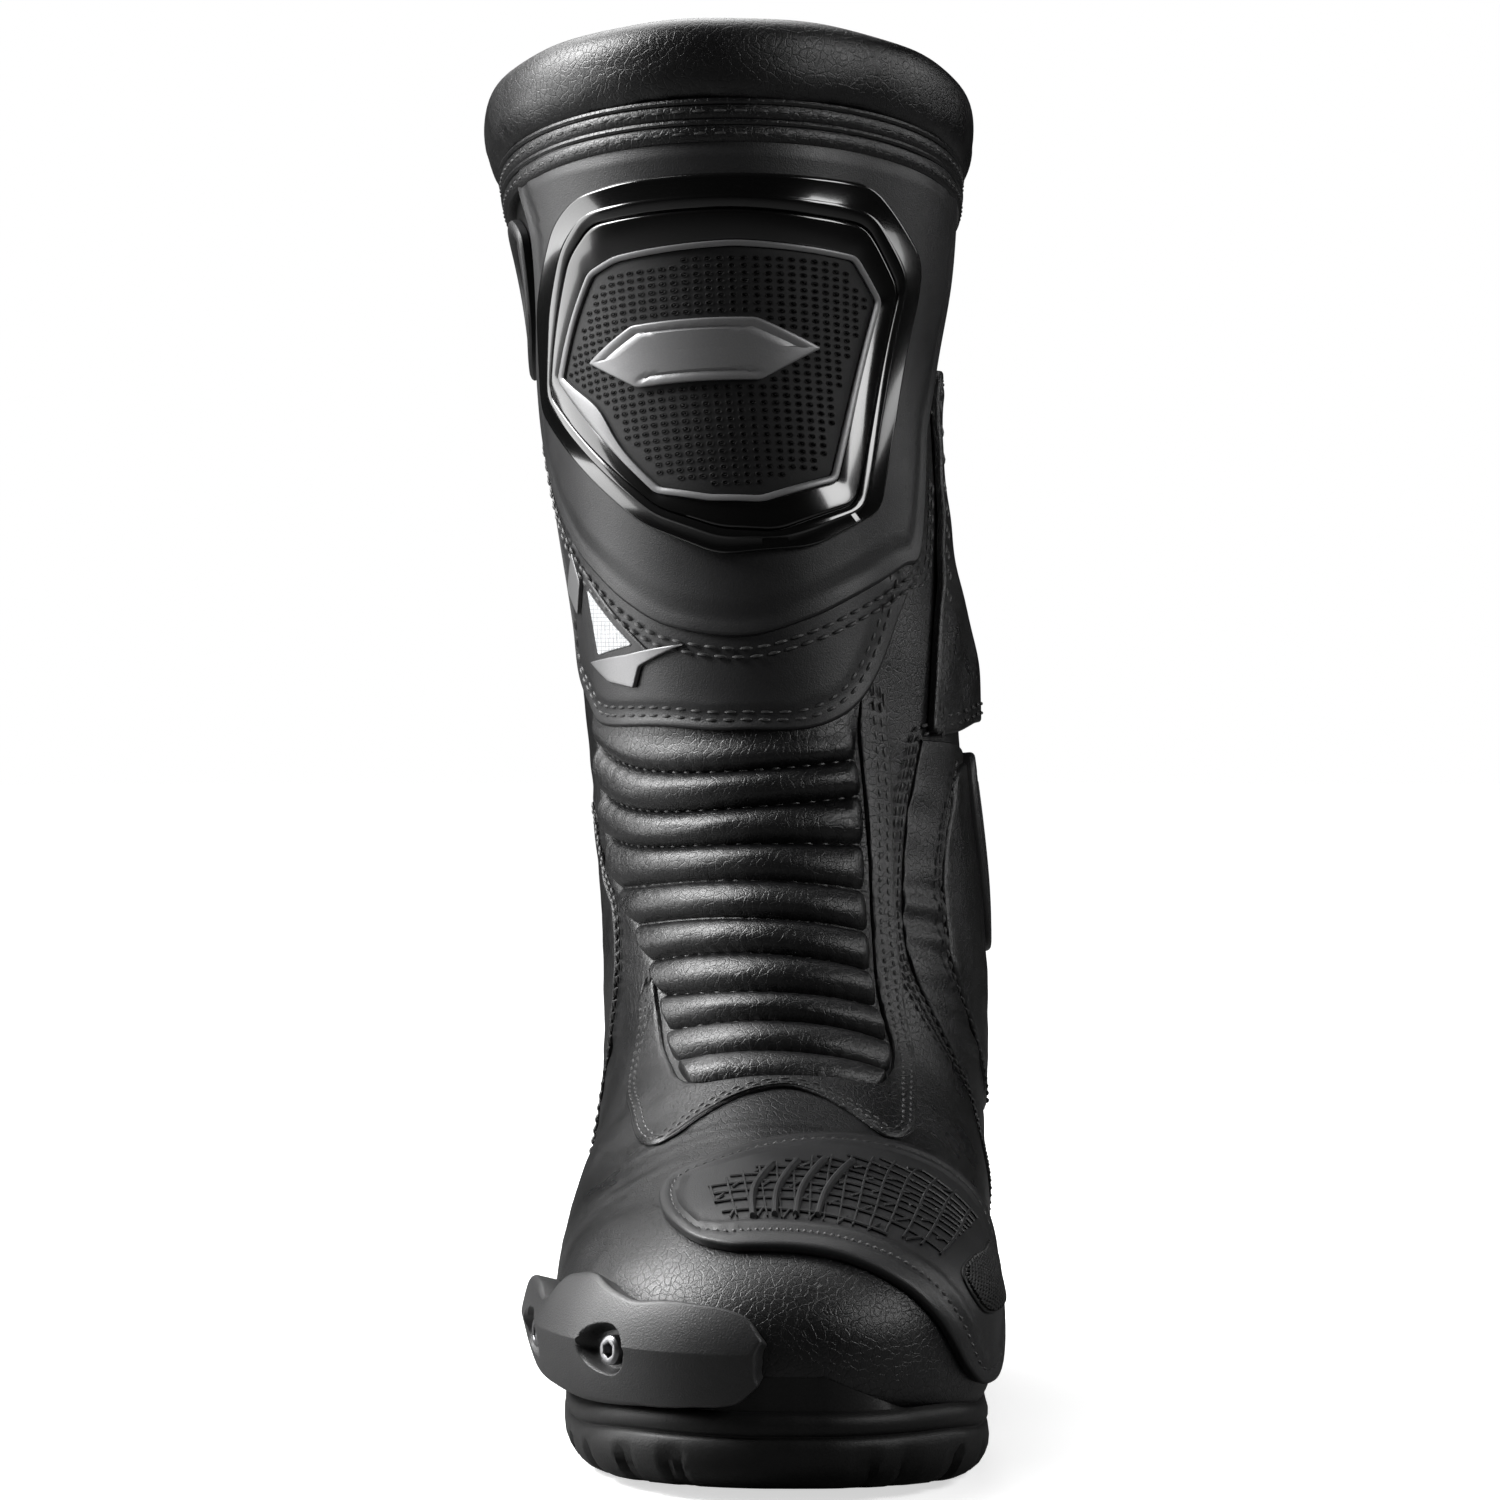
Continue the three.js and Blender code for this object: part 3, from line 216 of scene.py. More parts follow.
# %% [markdown]
# ## Turning grids of points into pieces
# Two mesh makers do for almost everything. A *sweep* carries a closed profile along a
# path: frames, piping, stitches and straps. A *shield* is made of rings that start at
# a middle point, run out to an edge, turn under and come back: plates and pads. Both
# give closed solids with their faces outwards.


def quads(rows, columns, wrap_rows, wrap_columns):
    """Faces of a grid of points, as rows of four indices."""
    i = np.arange(rows if wrap_rows else rows - 1)
    j = np.arange(columns if wrap_columns else columns - 1)
    i, j = np.meshgrid(i, j, indexing="ij")
    i2, j2 = (i + 1) % rows, (j + 1) % columns
    at = lambda a, b: a * columns + b
    return np.stack([at(i, j), at(i2, j), at(i2, j2), at(i, j2)], -1).reshape(-1, 4)


def welded(points, faces):
    """Points at one place made one, and faces without the edges that this closes."""
    first, same = np.unique(np.round(points, 3), axis=0, return_index=True,
                            return_inverse=True)[1:]
    same = same.reshape(-1)
    kept = []
    for face in faces:
        round_ = same[face]
        round_ = round_[round_ != np.roll(round_, 1)]
        if len(np.unique(round_)) == len(round_) > 2:
            kept.append(round_.tolist())
    return points[first], kept


def piece(name, points, faces, finish, slot, body, nodes=(), sharp=35.0, weld=False):
    """A mesh object from points in mm and a list of faces, turned outwards as a whole."""
    points = np.asarray(points, float).reshape(-1, 3)
    faces = [list(map(int, face)) for face in faces]
    if weld:
        points, faces = welded(points, faces)
    points = points * MM
    tri = np.array([[f[0], f[k], f[k + 1]] for f in faces for k in range(1, len(f) - 1)])
    a, b, c = points[tri[:, 0]], points[tri[:, 1]], points[tri[:, 2]]
    if np.einsum("ij,ij->i", a, np.cross(b, c)).sum() < 0:
        faces = [face[::-1] for face in faces]
    mesh = bpy.data.meshes.new(name)
    mesh.from_pydata(points.tolist(), [], faces)
    mesh.polygons.foreach_set("use_smooth", np.ones(len(faces), bool))
    mesh.set_sharp_from_angle(angle=np.radians(sharp))
    mesh.materials.append(finish)
    obj = bpy.data.objects.new(name, mesh)
    bpy.context.collection.objects.link(obj)
    if nodes:
        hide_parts(*nodes)
    if body == "ankle":
        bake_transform(obj)
    elif body == "fold":
        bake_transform(obj)
    else:
        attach(obj, body)
    print(f"{name}: {len(faces)} faces on {body}")
    return obj


def repeated(faces, size, count):
    """The faces of one solid of `size` points, for `count` copies in a row."""
    return [[i + size * k for i in face] for k in range(count) for face in faces]


def sweep_faces(path, section, closed):
    """Faces of a profile of `section` points carried along `path` places."""
    faces = quads(path, section, closed, True).tolist()
    if not closed:
        faces.append(list(range(section)))
        faces.append(list(range((path - 1) * section, path * section))[::-1])
    return faces


def sweep(name, grid, closed, *rest, **more):
    """A piece from grid[path, section, xyz]; open paths get their ends capped."""
    return piece(name, grid, sweep_faces(grid.shape[0], grid.shape[1], closed), *rest, **more)


def shield(name, grid, top, bottom, *rest, **more):
    """A piece from rings grid[ring, place, xyz], closed by a top and a bottom point."""
    rings, count = grid.shape[:2]
    j = np.arange(count)
    j2 = (j + 1) % count
    last = 1 + (rings - 1) * count
    faces = (quads(rings, count, False, True) + 1).tolist()
    faces += np.stack([np.zeros(count, int), 1 + j, 1 + j2], -1).tolist()
    end = np.full(count, rings * count + 1)
    faces += np.stack([end, last + j2, last + j], -1).tolist()
    points = np.vstack([[top], grid.reshape(-1, 3), [bottom]])
    return piece(name, points, faces, *rest, **more)


# %% [markdown]
# Outlines are drawn on the surface laid flat: station and v, scaled to rough
# millimetres. A *soft* outline is a smooth curve through its points; a *cornered* one
# keeps straight sides and rounds the corners by a radius.

# %% Outlines
FLAT = np.array([30.0, 180.0])


def along(points, count, closed):
    """The curve resampled at even distances."""
    points = np.vstack([points, points[:1]]) if closed else points
    run = np.concatenate([[0], np.cumsum(np.linalg.norm(np.diff(points, axis=0), axis=1))])
    at = np.linspace(0, run[-1], count + 1)[:-1] if closed else np.linspace(0, run[-1], count)
    return np.stack([np.interp(at, run, points[:, k]) for k in (0, 1)], -1)


def smooth(points, count, closed=False):
    """A Catmull-Rom curve through (s, v) points, evenly sampled, in flat mm."""
    p = np.asarray(points, float) * FLAT
    n = len(p)
    spans = n if closed else n - 1
    k = np.arange(spans)
    take = (lambda i: p[i % n]) if closed else (lambda i: p[np.clip(i, 0, n - 1)])
    before, a, b, after = (take(k + d)[:, None] for d in (-1, 0, 1, 2))
    t = np.linspace(0, 1, 24, endpoint=False)[None, :, None]
    curve = a + 0.5 * t * (b - before + t * (2 * before - 5 * a + 4 * b - after
                                             + t * (3 * (a - b) + after - before)))
    curve = curve.reshape(-1, 2)
    if not closed:
        curve = np.vstack([curve, p[-1:]])
    return along(curve, count, closed)


def cornered(points, radius, count):
    """A closed outline with straight sides and corners rounded by quadratic arcs."""
    p = np.asarray(points, float) * FLAT
    back = np.roll(p, 1, 0) - p
    ahead = np.roll(p, -1, 0) - p
    reach_ = np.minimum(np.linalg.norm(back, axis=1), np.linalg.norm(ahead, axis=1)) * 0.45
    r = np.minimum(radius, reach_)[:, None]
    start = p + back / np.linalg.norm(back, axis=1, keepdims=True) * r
    end = p + ahead / np.linalg.norm(ahead, axis=1, keepdims=True) * r
    t = np.linspace(0, 1, 9)[None, :, None]
    arcs = (1 - t) ** 2 * start[:, None] + 2 * t * (1 - t) * p[:, None] + t ** 2 * end[:, None]
    return along(arcs.reshape(-1, 2), count, True)


def side_way(path, closed):
    """Unit directions across a flat path, to its left."""
    if closed:
        step = np.roll(path, -1, 0) - np.roll(path, 1, 0)
    else:
        step = np.gradient(path, axis=0)
    step /= np.linalg.norm(step, axis=1, keepdims=True)
    return np.stack([-step[:, 1], step[:, 0]], -1)


def inset(loop, distance):
    """A closed outline moved inwards by distance mm."""
    x, y = loop.T
    area = np.sum(x * np.roll(y, -1) - y * np.roll(x, -1))
    return loop + side_way(loop, True) * distance * np.sign(area)


def lay(flat, lift):
    """Flat points back on the boot, lifted."""
    return skin(flat[..., 0] / FLAT[0], flat[..., 1] / FLAT[1], lift)


def edge_distance(flats, loop):
    """Distance from flat points to the nearest corner point of a fine outline."""
    away = flats[..., None, :] - loop
    return np.sqrt((away ** 2).sum(-1).min(-1))


def plate(name, loop, low, high, round_, *rest, crown=0.0, rings=10, relief=None,
          hollow=False, unbend=lambda p: p, **more):
    """A plate on the boot: rings from the middle out to the edge, the edge rounded by a
    quarter circle, down the side to low and back underneath. Crown lifts the middle,
    relief adds a height that depends on the flat place, and a hollow plate has the same
    relief underneath. Unbend turns a loop drawn in another flat frame into this one."""
    middle = loop.mean(0)
    shrink = inset(loop, round_)
    shares = np.linspace(0, 1, rings + 1)[1:]
    flats = [middle + (shrink - middle) * share for share in shares]
    lifts = [high + crown * (1 - share ** 2) for share in shares]
    for angle in np.linspace(0, np.pi / 2, 5)[1:]:
        flats.append(inset(loop, round_ * (1 - np.sin(angle))))
        lifts.append(high - round_ * (1 - np.cos(angle)))
    top_rings = len(flats)
    under = shares[::-1][:: max(rings // 8, 1)]
    flats += [middle + (loop - middle) * share for share in under]
    lifts += [low] * len(under)
    flats, middle = unbend(np.array(flats)), unbend(middle)
    lifts = np.array(lifts)[:, None] + np.zeros(flats.shape[:2])
    top_lift, low_lift = high + crown, low
    if relief is not None:
        raised = flats if hollow else flats[:top_rings]
        lifts[:len(raised)] += relief(raised)
        top_lift += relief(middle[None])[0]
        low_lift += relief(middle[None])[0] if hollow else 0.0
    return shield(name, lay(flats, lifts), lay(middle, top_lift), lay(middle, low_lift),
                  *rest, **more)


def ring_frame(name, outer, inner, profile, *rest, **more):
    """A frame between two closed outlines. Profile rows are (share across, lift)."""
    share, lift = np.array(profile, float).T
    flats = outer[:, None] + (inner - outer)[:, None] * share[None, :, None]
    return sweep(name, lay(flats, np.broadcast_to(lift, flats.shape[:2])), True, *rest, **more)


def around(loop, middle, count):
    """A closed outline resampled at even angles round a middle point, so that two
    outlines can be joined place by place."""
    angle = np.arctan2(loop[:, 1] - middle[1], loop[:, 0] - middle[0])
    order = np.argsort(angle)
    angle, loop = angle[order], loop[order]
    at = np.linspace(-np.pi, np.pi, count, endpoint=False)
    return np.stack([np.interp(at, angle, loop[:, k], period=2 * np.pi) for k in (0, 1)], -1)


def bead(name, path, radius, lift, closed, *rest, squash=1.0, sides=8, **more):
    """A round cord along a flat path, its middle lifted off the surface."""
    turn = np.linspace(0, 2 * np.pi, sides, endpoint=False)
    across = path[:, None] + side_way(path, closed)[:, None] * (radius * np.cos(turn))[None, :, None]
    lifts = lift + radius * squash * np.sin(turn)
    return sweep(name, lay(across, np.broadcast_to(lifts, across.shape[:2])), closed, *rest, **more)


def stitches(name, paths, lift, *rest, pitch=3.9, length=2.9, radius=0.42, **more):
    """Rows of thread along flat paths, at one lift or one for each path: each stitch is a
    short six-sided grain whose ends dip into the surface."""
    grain = np.array([[-0.5, 0.25], [-0.34, 0.85], [0, 1.0], [0.34, 0.85], [0.5, 0.25]])
    turn = np.linspace(0, 2 * np.pi, 6, endpoint=False)
    one = quads(5, 6, False, True).tolist() + [list(range(6)), list(range(24, 30))[::-1]]
    points = []
    for path, rest_lift in zip(paths, np.broadcast_to(lift, len(paths))):
        run = np.linalg.norm(np.diff(path, axis=0), axis=1).sum()
        count = max(int(run / pitch), 2)
        places = along(path, count, False)
        way = np.gradient(places, axis=0)
        way /= np.linalg.norm(way, axis=1, keepdims=True)
        left = np.stack([-way[:, 1], way[:, 0]], -1)
        u = grain[None, :, None, 0] * length
        r = grain[None, :, None, 1] * radius
        flats = (places[:, None, None] + way[:, None, None] * u[..., None]
                 + left[:, None, None] * (r * np.cos(turn))[..., None])
        dip = -0.35 * (2 * grain[None, :, None, 0]) ** 2
        lifts = rest_lift + dip + r * np.sin(turn) + np.zeros(flats.shape[:3])
        points.append(lay(flats, lifts).reshape(-1, 3))
    points = np.vstack(points)
    return piece(name, points, repeated(one, 30, len(points) // 30), *rest, **more)


def beside(path, distance):
    """A flat open path moved sideways, to its left."""
    return path + side_way(path, False) * distance


def ripple(x, y, size, seed):
    """Soft waves without a pattern: ten sines of random direction and phase."""
    dice = np.random.default_rng(seed)
    angle = dice.uniform(0, np.pi, 10)
    phase = dice.uniform(0, 2 * np.pi, 10)
    pace = 2 * np.pi / size * dice.uniform(0.6, 1.5, 10)
    return sum(np.sin(pace[k] * (x * np.cos(angle[k]) + y * np.sin(angle[k])) + phase[k])
               for k in range(10)) / 5.0


def uneven(s, v, size, seed):
    """Soft waves over the form, by station and v in rough millimetres."""
    return ripple(s * 30, v * 170, size, seed)


def step_up(x, low, high):
    """A smooth rise from 0 to 1 between low and high."""
    t = np.clip((x - low) / (high - low), 0, 1)
    return t * t * (3 - 2 * t)


# %% [markdown]
# ## Finishes
# Each finish is a principled shader with a fine texture in the object's own metres: the
# crackled grain of leather, the spark-eroded grain of moulded plastic, the weave of
# webbing. A bump carries only what is finer than a third of a millimetre.

# %% Finish maker
def finish(name, color, roughness, metallic=0.0, specular=0.5, coat=0.0):
    """A principled material, with its node tree ready for a texture."""
    material = bpy.data.materials.new(name)
    material.use_nodes = True
    shader = material.node_tree.nodes["Principled BSDF"]
    shader.inputs["Base Color"].default_value = (*color, 1.0)
    shader.inputs["Roughness"].default_value = roughness
    shader.inputs["Metallic"].default_value = metallic
    shader.inputs["Specular IOR Level"].default_value = specular
    shader.inputs["Coat Weight"].default_value = coat
    shader.inputs["Coat Roughness"].default_value = 0.06
    return material


def texture(material, kind, scale, **settings):
    """A texture node of that kind, read in object metres."""
    tree = material.node_tree
    node = tree.nodes.new(kind)
    node.inputs["Scale"].default_value = scale
    for key, value in settings.items():
        if key in node.inputs:
            node.inputs[key].default_value = value
        else:
            setattr(node, key, value)
    place = tree.nodes.get("place") or tree.nodes.new("ShaderNodeTexCoord")
    place.name = "place"
    tree.links.new(place.outputs["Object"], node.inputs["Vector"])
    return node


def remap(material, socket, low, high, new_low, new_high):
    """A socket's range low..high carried to new_low..new_high, held at both ends."""
    node = material.node_tree.nodes.new("ShaderNodeMapRange")
    for key, value in zip(("From Min", "From Max", "To Min", "To Max"),
                          (low, high, new_low, new_high)):
        node.inputs[key].default_value = value
    material.node_tree.links.new(socket, node.inputs["Value"])
    return node.outputs["Result"]


def bump(material, height, distance, strength=1.0):
    """Adds a bump of that many metres under the bumps that are already there."""
    tree = material.node_tree
    node = tree.nodes.new("ShaderNodeBump")
    node.inputs["Distance"].default_value = distance
    node.inputs["Strength"].default_value = strength
    shader = tree.nodes["Principled BSDF"]
    if shader.inputs["Normal"].links:
        tree.links.new(shader.inputs["Normal"].links[0].from_socket, node.inputs["Normal"])
    tree.links.new(height, node.inputs["Height"])
    tree.links.new(node.outputs["Normal"], shader.inputs["Normal"])


def drive(material, name, socket):
    """Feeds a socket into one of the shader's inputs."""
    tree = material.node_tree
    tree.links.new(socket, tree.nodes["Principled BSDF"].inputs[name])


def shades(material, socket, dark, light):
    """Base colour running between two colours with a socket from 0 to 1."""
    tree = material.node_tree
    node = tree.nodes.new("ShaderNodeMix")
    node.data_type = "RGBA"
    node.inputs["A"].default_value = (*dark, 1.0)
    node.inputs["B"].default_value = (*light, 1.0)
    tree.links.new(socket, node.inputs["Factor"])
    tree.links.new(node.outputs["Result"], tree.nodes["Principled BSDF"].inputs["Base Color"])


def grained_leather(name, color, roughness, cell, depth):
    """Black leather: cells between fine cracks, pores, and a polish that wanders."""
    made = finish(name, color, roughness, specular=0.42)
    wander = texture(made, "ShaderNodeTexNoise", 260.0, Detail=3.0)
    cells = texture(made, "ShaderNodeTexVoronoi", 1 / cell, feature="DISTANCE_TO_EDGE")
    mixed = made.node_tree.nodes.new("ShaderNodeVectorMath")
    mixed.operation = "MULTIPLY_ADD"
    mixed.inputs[1].default_value = (0.0016, 0.0016, 0.0016)
    made.node_tree.links.new(wander.outputs["Color"], mixed.inputs[0])
    made.node_tree.links.new(made.node_tree.nodes["place"].outputs["Object"], mixed.inputs[2])
    made.node_tree.links.new(mixed.outputs["Vector"], cells.inputs["Vector"])
    crack = remap(made, cells.outputs["Distance"], 0.0, 0.09, 0.0, 1.0)
    pores = texture(made, "ShaderNodeTexNoise", 2600.0, Detail=4.0, Roughness=0.65)
    polish = texture(made, "ShaderNodeTexNoise", 38.0, Detail=3.0)
    drive(made, "Roughness", remap(made, polish.outputs["Fac"], 0.3, 0.7,
                                   roughness - 0.07, roughness + 0.07))
    creases = texture(made, "ShaderNodeTexNoise", 75.0, Detail=3.0, Roughness=0.55,
                      noise_type="RIDGED_MULTIFRACTAL")
    sharp = remap(made, creases.outputs["Fac"], 0.55, 1.3, 0.0, 1.0)
    bump(made, pores.outputs["Fac"], 0.00010)
    bump(made, crack, depth)
    bump(made, sharp, 0.0001)
    shades(made, crack, tuple(0.5 * c for c in color), color)
    return made


def moulded(name, color, roughness, grain=0.00008, scale=2400.0, coat=0.0, specular=0.5):
    """Moulded plastic or rubber: an even, fine eroded grain and a wandering sheen."""
    made = finish(name, color, roughness, specular=specular, coat=coat)
    fine = texture(made, "ShaderNodeTexNoise", scale, Detail=3.0)
    sheen = texture(made, "ShaderNodeTexNoise", 55.0, Detail=2.0)
    drive(made, "Roughness", remap(made, sheen.outputs["Fac"], 0.3, 0.7,
                                   roughness * 0.9, roughness * 1.1))
    shades(made, remap(made, fine.outputs["Fac"], 0.35, 0.65, 0.0, 1.0),
           tuple(0.88 * c for c in color), tuple(1.12 * c for c in color))
    bump(made, fine.outputs["Fac"], grain)
    return made


def textured(name, roughness, kind, scale, depth, low, high, metallic=0.0, **settings):
    """A finish whose height and colour, from low to high, follow one texture."""
    made = finish(name, high, roughness, metallic)
    pattern = texture(made, "ShaderNodeTex" + kind, scale, **settings)
    height = pattern.outputs["Fac" if kind == "Noise" else "Distance"]
    bump(made, height, depth)
    shades(made, height, low, high)
    return made


# %% The finishes
LEATHER = grained_leather("leather", (0.0045, 0.0045, 0.0048), 0.33, 0.0019, 0.00005)
SOFT = grained_leather("soft_leather", (0.004, 0.004, 0.0043), 0.31, 0.0022, 0.000045)
PLATE = moulded("plate_matte", (0.0065, 0.0065, 0.007), 0.47, specular=0.4)
INSERT = moulded("insert_matte", (0.0035, 0.0035, 0.0038), 0.6, specular=0.3)
GLOSS = moulded("frame_gloss", (0.0025, 0.0025, 0.0025), 0.15, grain=0.000002, scale=1600.0,
                coat=0.35)
SLIDER = moulded("slider_plastic", (0.013, 0.013, 0.0135), 0.44, grain=0.00010)
RUBBER = moulded("rubber", (0.005, 0.005, 0.005), 0.5, grain=0.00007, scale=1800.0,
                 specular=0.25)
# Near-black finish for the insert's hole cups: painted shade for the depth of the holes.
HOLE_SHADE = moulded("hole_painted_shade", (0.0015, 0.0015, 0.0015), 0.6, specular=0.2)
SATIN = textured("trim_satin", 0.42, "Noise", 1900.0, 0.00003, (0.15, 0.15, 0.152),
                 (0.19, 0.19, 0.192), metallic=0.55, Detail=4.0)
STEEL = textured("steel", 0.33, "Noise", 2200.0, 0.00002, (0.15, 0.15, 0.155),
                 (0.26, 0.26, 0.265), metallic=1.0, Detail=3.0)
REFLECTIVE = finish("reflective", (0.5, 0.51, 0.52), 0.4)
prisms = texture(REFLECTIVE, "ShaderNodeTexVoronoi", 900.0, feature="DISTANCE_TO_EDGE",
                 Randomness=0.05)
prism = remap(REFLECTIVE, prisms.outputs["Distance"], 0.0, 0.14, 0.0, 1.0)
bump(REFLECTIVE, prism, 0.00006)
shades(REFLECTIVE, prism, (0.2, 0.205, 0.21), (0.55, 0.56, 0.57))
MESH = moulded("mesh", (0.009, 0.009, 0.009), 0.7, grain=0.0002, scale=1500.0)
THREAD = textured("thread", 0.45, "Noise", 4200.0, 0.00008, (0.022, 0.022, 0.022),
                  (0.022, 0.022, 0.022), Detail=2.0)
WEB = textured("webbing", 0.8, "Voronoi", 1100.0, 0.00022, (0.024, 0.024, 0.025),
               (0.008, 0.008, 0.008), Randomness=0.25)
LINING = textured("lining", 0.9, "Voronoi", 620.0, 0.0005, (0.04, 0.04, 0.042),
                  (0.012, 0.012, 0.013), Randomness=0.15)
BOARD = textured("board", 0.85, "Noise", 700.0, 0.0002, (0.11, 0.09, 0.065),
                 (0.22, 0.185, 0.14), Detail=6.0, Roughness=0.7)

for node, look in {"steel_shank": STEEL, "slider_nut_plate": STEEL, "toe_puff": BOARD,
                   "insole_board": BOARD, "heel_counter": BOARD, "zip_stop": STEEL}.items():
    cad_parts[node].data.materials.clear()
    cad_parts[node].data.materials.append(look)

# %% [markdown]
# ## Floor
# The camera sees a pale floor and a white surround. The boot itself sees both of them dim,
# so nearly all of its light comes from the boxes.

# %% Floor and surround
floor_mesh = bpy.data.meshes.new("floor")
turn = np.linspace(0, 2 * np.pi, 64, endpoint=False)
FLOOR_RADIUS = 6.0
disc_points = np.stack([FLOOR_RADIUS * np.cos(turn), FLOOR_RADIUS * np.sin(turn), 0 * turn], -1)
floor_mesh.from_pydata(disc_points.tolist(), [], [list(range(64))])
floor = bpy.data.objects.new("floor", floor_mesh)
floor.location = (0, 0, cad_box[0][2] - 0.0002)
bpy.context.collection.objects.link(floor)
pale = finish("floor_pale", (0.8, 0.8, 0.8), 0.45)
tree = pale.node_tree
tree.nodes["Principled BSDF"].inputs["Emission Color"].default_value = (1, 1, 1, 1)
to_camera = tree.nodes.new("ShaderNodeLightPath").outputs["Is Camera Ray"]
spot = tree.nodes.new("ShaderNodeTexCoord")
distance = tree.nodes.new("ShaderNodeVectorMath")
distance.operation = "LENGTH"
tree.links.new(spot.outputs["Object"], distance.inputs[0])
glow = remap(pale, distance.outputs["Value"], 0.2, 0.45, 0.55, 1.0)
shown = tree.nodes.new("ShaderNodeMath")
shown.operation = "MULTIPLY"
tree.links.new(to_camera, shown.inputs[0])
tree.links.new(glow, shown.inputs[1])
drive(pale, "Emission Strength", shown.outputs["Value"])
shades(pale, to_camera, (0.1, 0.1, 0.1), (0.8, 0.8, 0.8))
floor_mesh.materials.append(pale)
look_up = world.node_tree.nodes.new("ShaderNodeLightPath")
level = world.node_tree.nodes.new("ShaderNodeMapRange")
level.inputs["To Min"].default_value = 0.012
level.inputs["To Max"].default_value = 1.0
world.node_tree.links.new(look_up.outputs["Is Camera Ray"], level.inputs["Value"])
world.node_tree.links.new(level.outputs["Result"],
                          world.node_tree.nodes["Background"].inputs["Strength"])

# %% [markdown]
# ## The leather upper
# One skin from toe to collar, cut from full-grain cowhide with a coated face and lasted
# over a form. It bends at the ankle, so it crosses from the foot's body to the shaft's.
# Its lift above the form carries everything that shaping and wear would do to it: a
# pocket under the quilted ribs, pleats behind the ankle, creases at its sides, and the
# opening for the zip.

# %% Rib seams
RIB_LEFT = np.array([[9.75, -0.38], [9.23, -0.365], [8.82, -0.366], [8.39, -0.36], [7.79, -0.311],
                     [7.27, -0.241], [6.75, -0.198], [6.23, -0.166], [5.60, -0.144],
                     [4.87, -0.126], [4.15, -0.12]])
RIB_MIDDLE = np.array([[9.1, -0.03], [8.60, -0.03], [8.26, -0.03], [7.88, -0.03], [7.46, -0.03],
                       [6.99, -0.03], [6.51, -0.03], [5.90, -0.025], [5.32, -0.02],
                       [4.63, -0.015], [3.95, -0.01]])
RIB_RIGHT = np.array([[9.2, 0.11], [8.74, 0.103], [8.41, 0.103], [7.91, 0.094], [7.38, 0.086],
                      [6.86, 0.083], [6.31, 0.081], [5.76, 0.086], [5.13, 0.098],
                      [4.46, 0.114], [3.95, 0.12]])


def rib_place(row, across):
    """(s, v) in the rib panel: row counts the seams from the top, across runs 0 to 1."""
    rows = np.arange(len(RIB_LEFT))
    ends = [np.stack([np.interp(row, rows, side[:, k]) for k in (0, 1)], -1)
            for side in (RIB_LEFT, RIB_MIDDLE, RIB_RIGHT)]
    left, middle, right = ends
    share = ((middle - left)[..., 1:] / (right - left)[..., 1:])
    t = across[..., None]
    bow = middle[..., :1] - (left + (right - left) * share)[..., :1]
    flat = left + (right - left) * t
    flat[..., :1] += bow * t * (1 - t) / (share * (1 - share))
    return flat


def under_ribs(s, v):
    """1 where the quilted panel covers the leather, 0 a little outside of it."""
    left = np.interp(s, RIB_LEFT[::-1, 0], RIB_LEFT[::-1, 1])
    right = np.interp(s, RIB_RIGHT[::-1, 0], RIB_RIGHT[::-1, 1])
    return (step_up(v, left, left + 0.02) * step_up(-v, -right, -right + 0.02)
            * step_up(s, 4.05, 4.25) * step_up(-s, -9.6, -9.3))


# %% The upper
ZIP = {"v": 0.7, "low": 9.0, "high": 13.3, "depth": -2.8, "half": 8.0}
zip_low = skin(ZIP["low"], ZIP["v"], ZIP["depth"])
zip_high = skin(ZIP["high"], ZIP["v"], ZIP["depth"])
zip_length = np.linalg.norm(zip_high - zip_low)
zip_up = (zip_high - zip_low) / zip_length
zip_out = normal((ZIP["low"] + ZIP["high"]) / 2, ZIP["v"])
zip_out = zip_out - zip_up * (zip_out @ zip_up)
zip_out /= np.linalg.norm(zip_out)
zip_side = np.cross(zip_up, zip_out)


def pressed(points, side, end, floor):
    """Points moved in along zip_out to no more than floor, inside the zip's slot. Its long
    edges fade over side[0] outside and side[1] inside, its ends from `end` to 2 mm out."""
    x, y, z = np.moveaxis((points - zip_low) @ np.stack([zip_side, zip_up, zip_out]).T, -1, 0)
    share = (step_up(-np.abs(x), -ZIP["half"] - side[0], -ZIP["half"] + side[1])
             * step_up(y, -end, -2.0) * step_up(-y, -zip_length - end, -zip_length - 2.0)
             * (z > -30))
    return points - zip_out * (share * np.maximum(z - floor, 0))[..., None]


def upper_lift(s, v):
    """Height of the leather's face above the form, in mm."""
    lift = 0.13 * uneven(s, v, 30, 3) + 0.04 * uneven(s, v, 9, 4)
    lift = lift * step_up(s, 0.2, 1.0)
    around_back = step_up(np.abs(v), 0.74, 0.84)
    ankle = step_up(s, 6.2, 7.2) * step_up(-s, -10.4, -9.2)
    pleat = np.abs(np.sin(np.pi * (s - 6.2) / 0.52 + 0.5 * np.sin(7 * v))) ** 0.8
    lift = lift + around_back * ankle * (2.3 * pleat - 1.5)
    sides = step_up(np.abs(v), 0.24, 0.34) * step_up(-np.abs(v), -0.8, -0.7)
    bend = step_up(s, 4.8, 6.2) * step_up(-s, -9.6, -8.4)
    fold = ripple(s * 30 - 60 * v ** 2, v * 32, 11, 7)
    lift = lift + sides * bend * 0.75 * fold
    toe_crease = step_up(s, 1.9, 2.4) * step_up(-s, -3.4, -2.8)
    lift = lift + 0.14 * toe_crease * ripple(s * 30, v * 30, 9, 9)
    return lift - 1.5 * under_ribs(s, v)


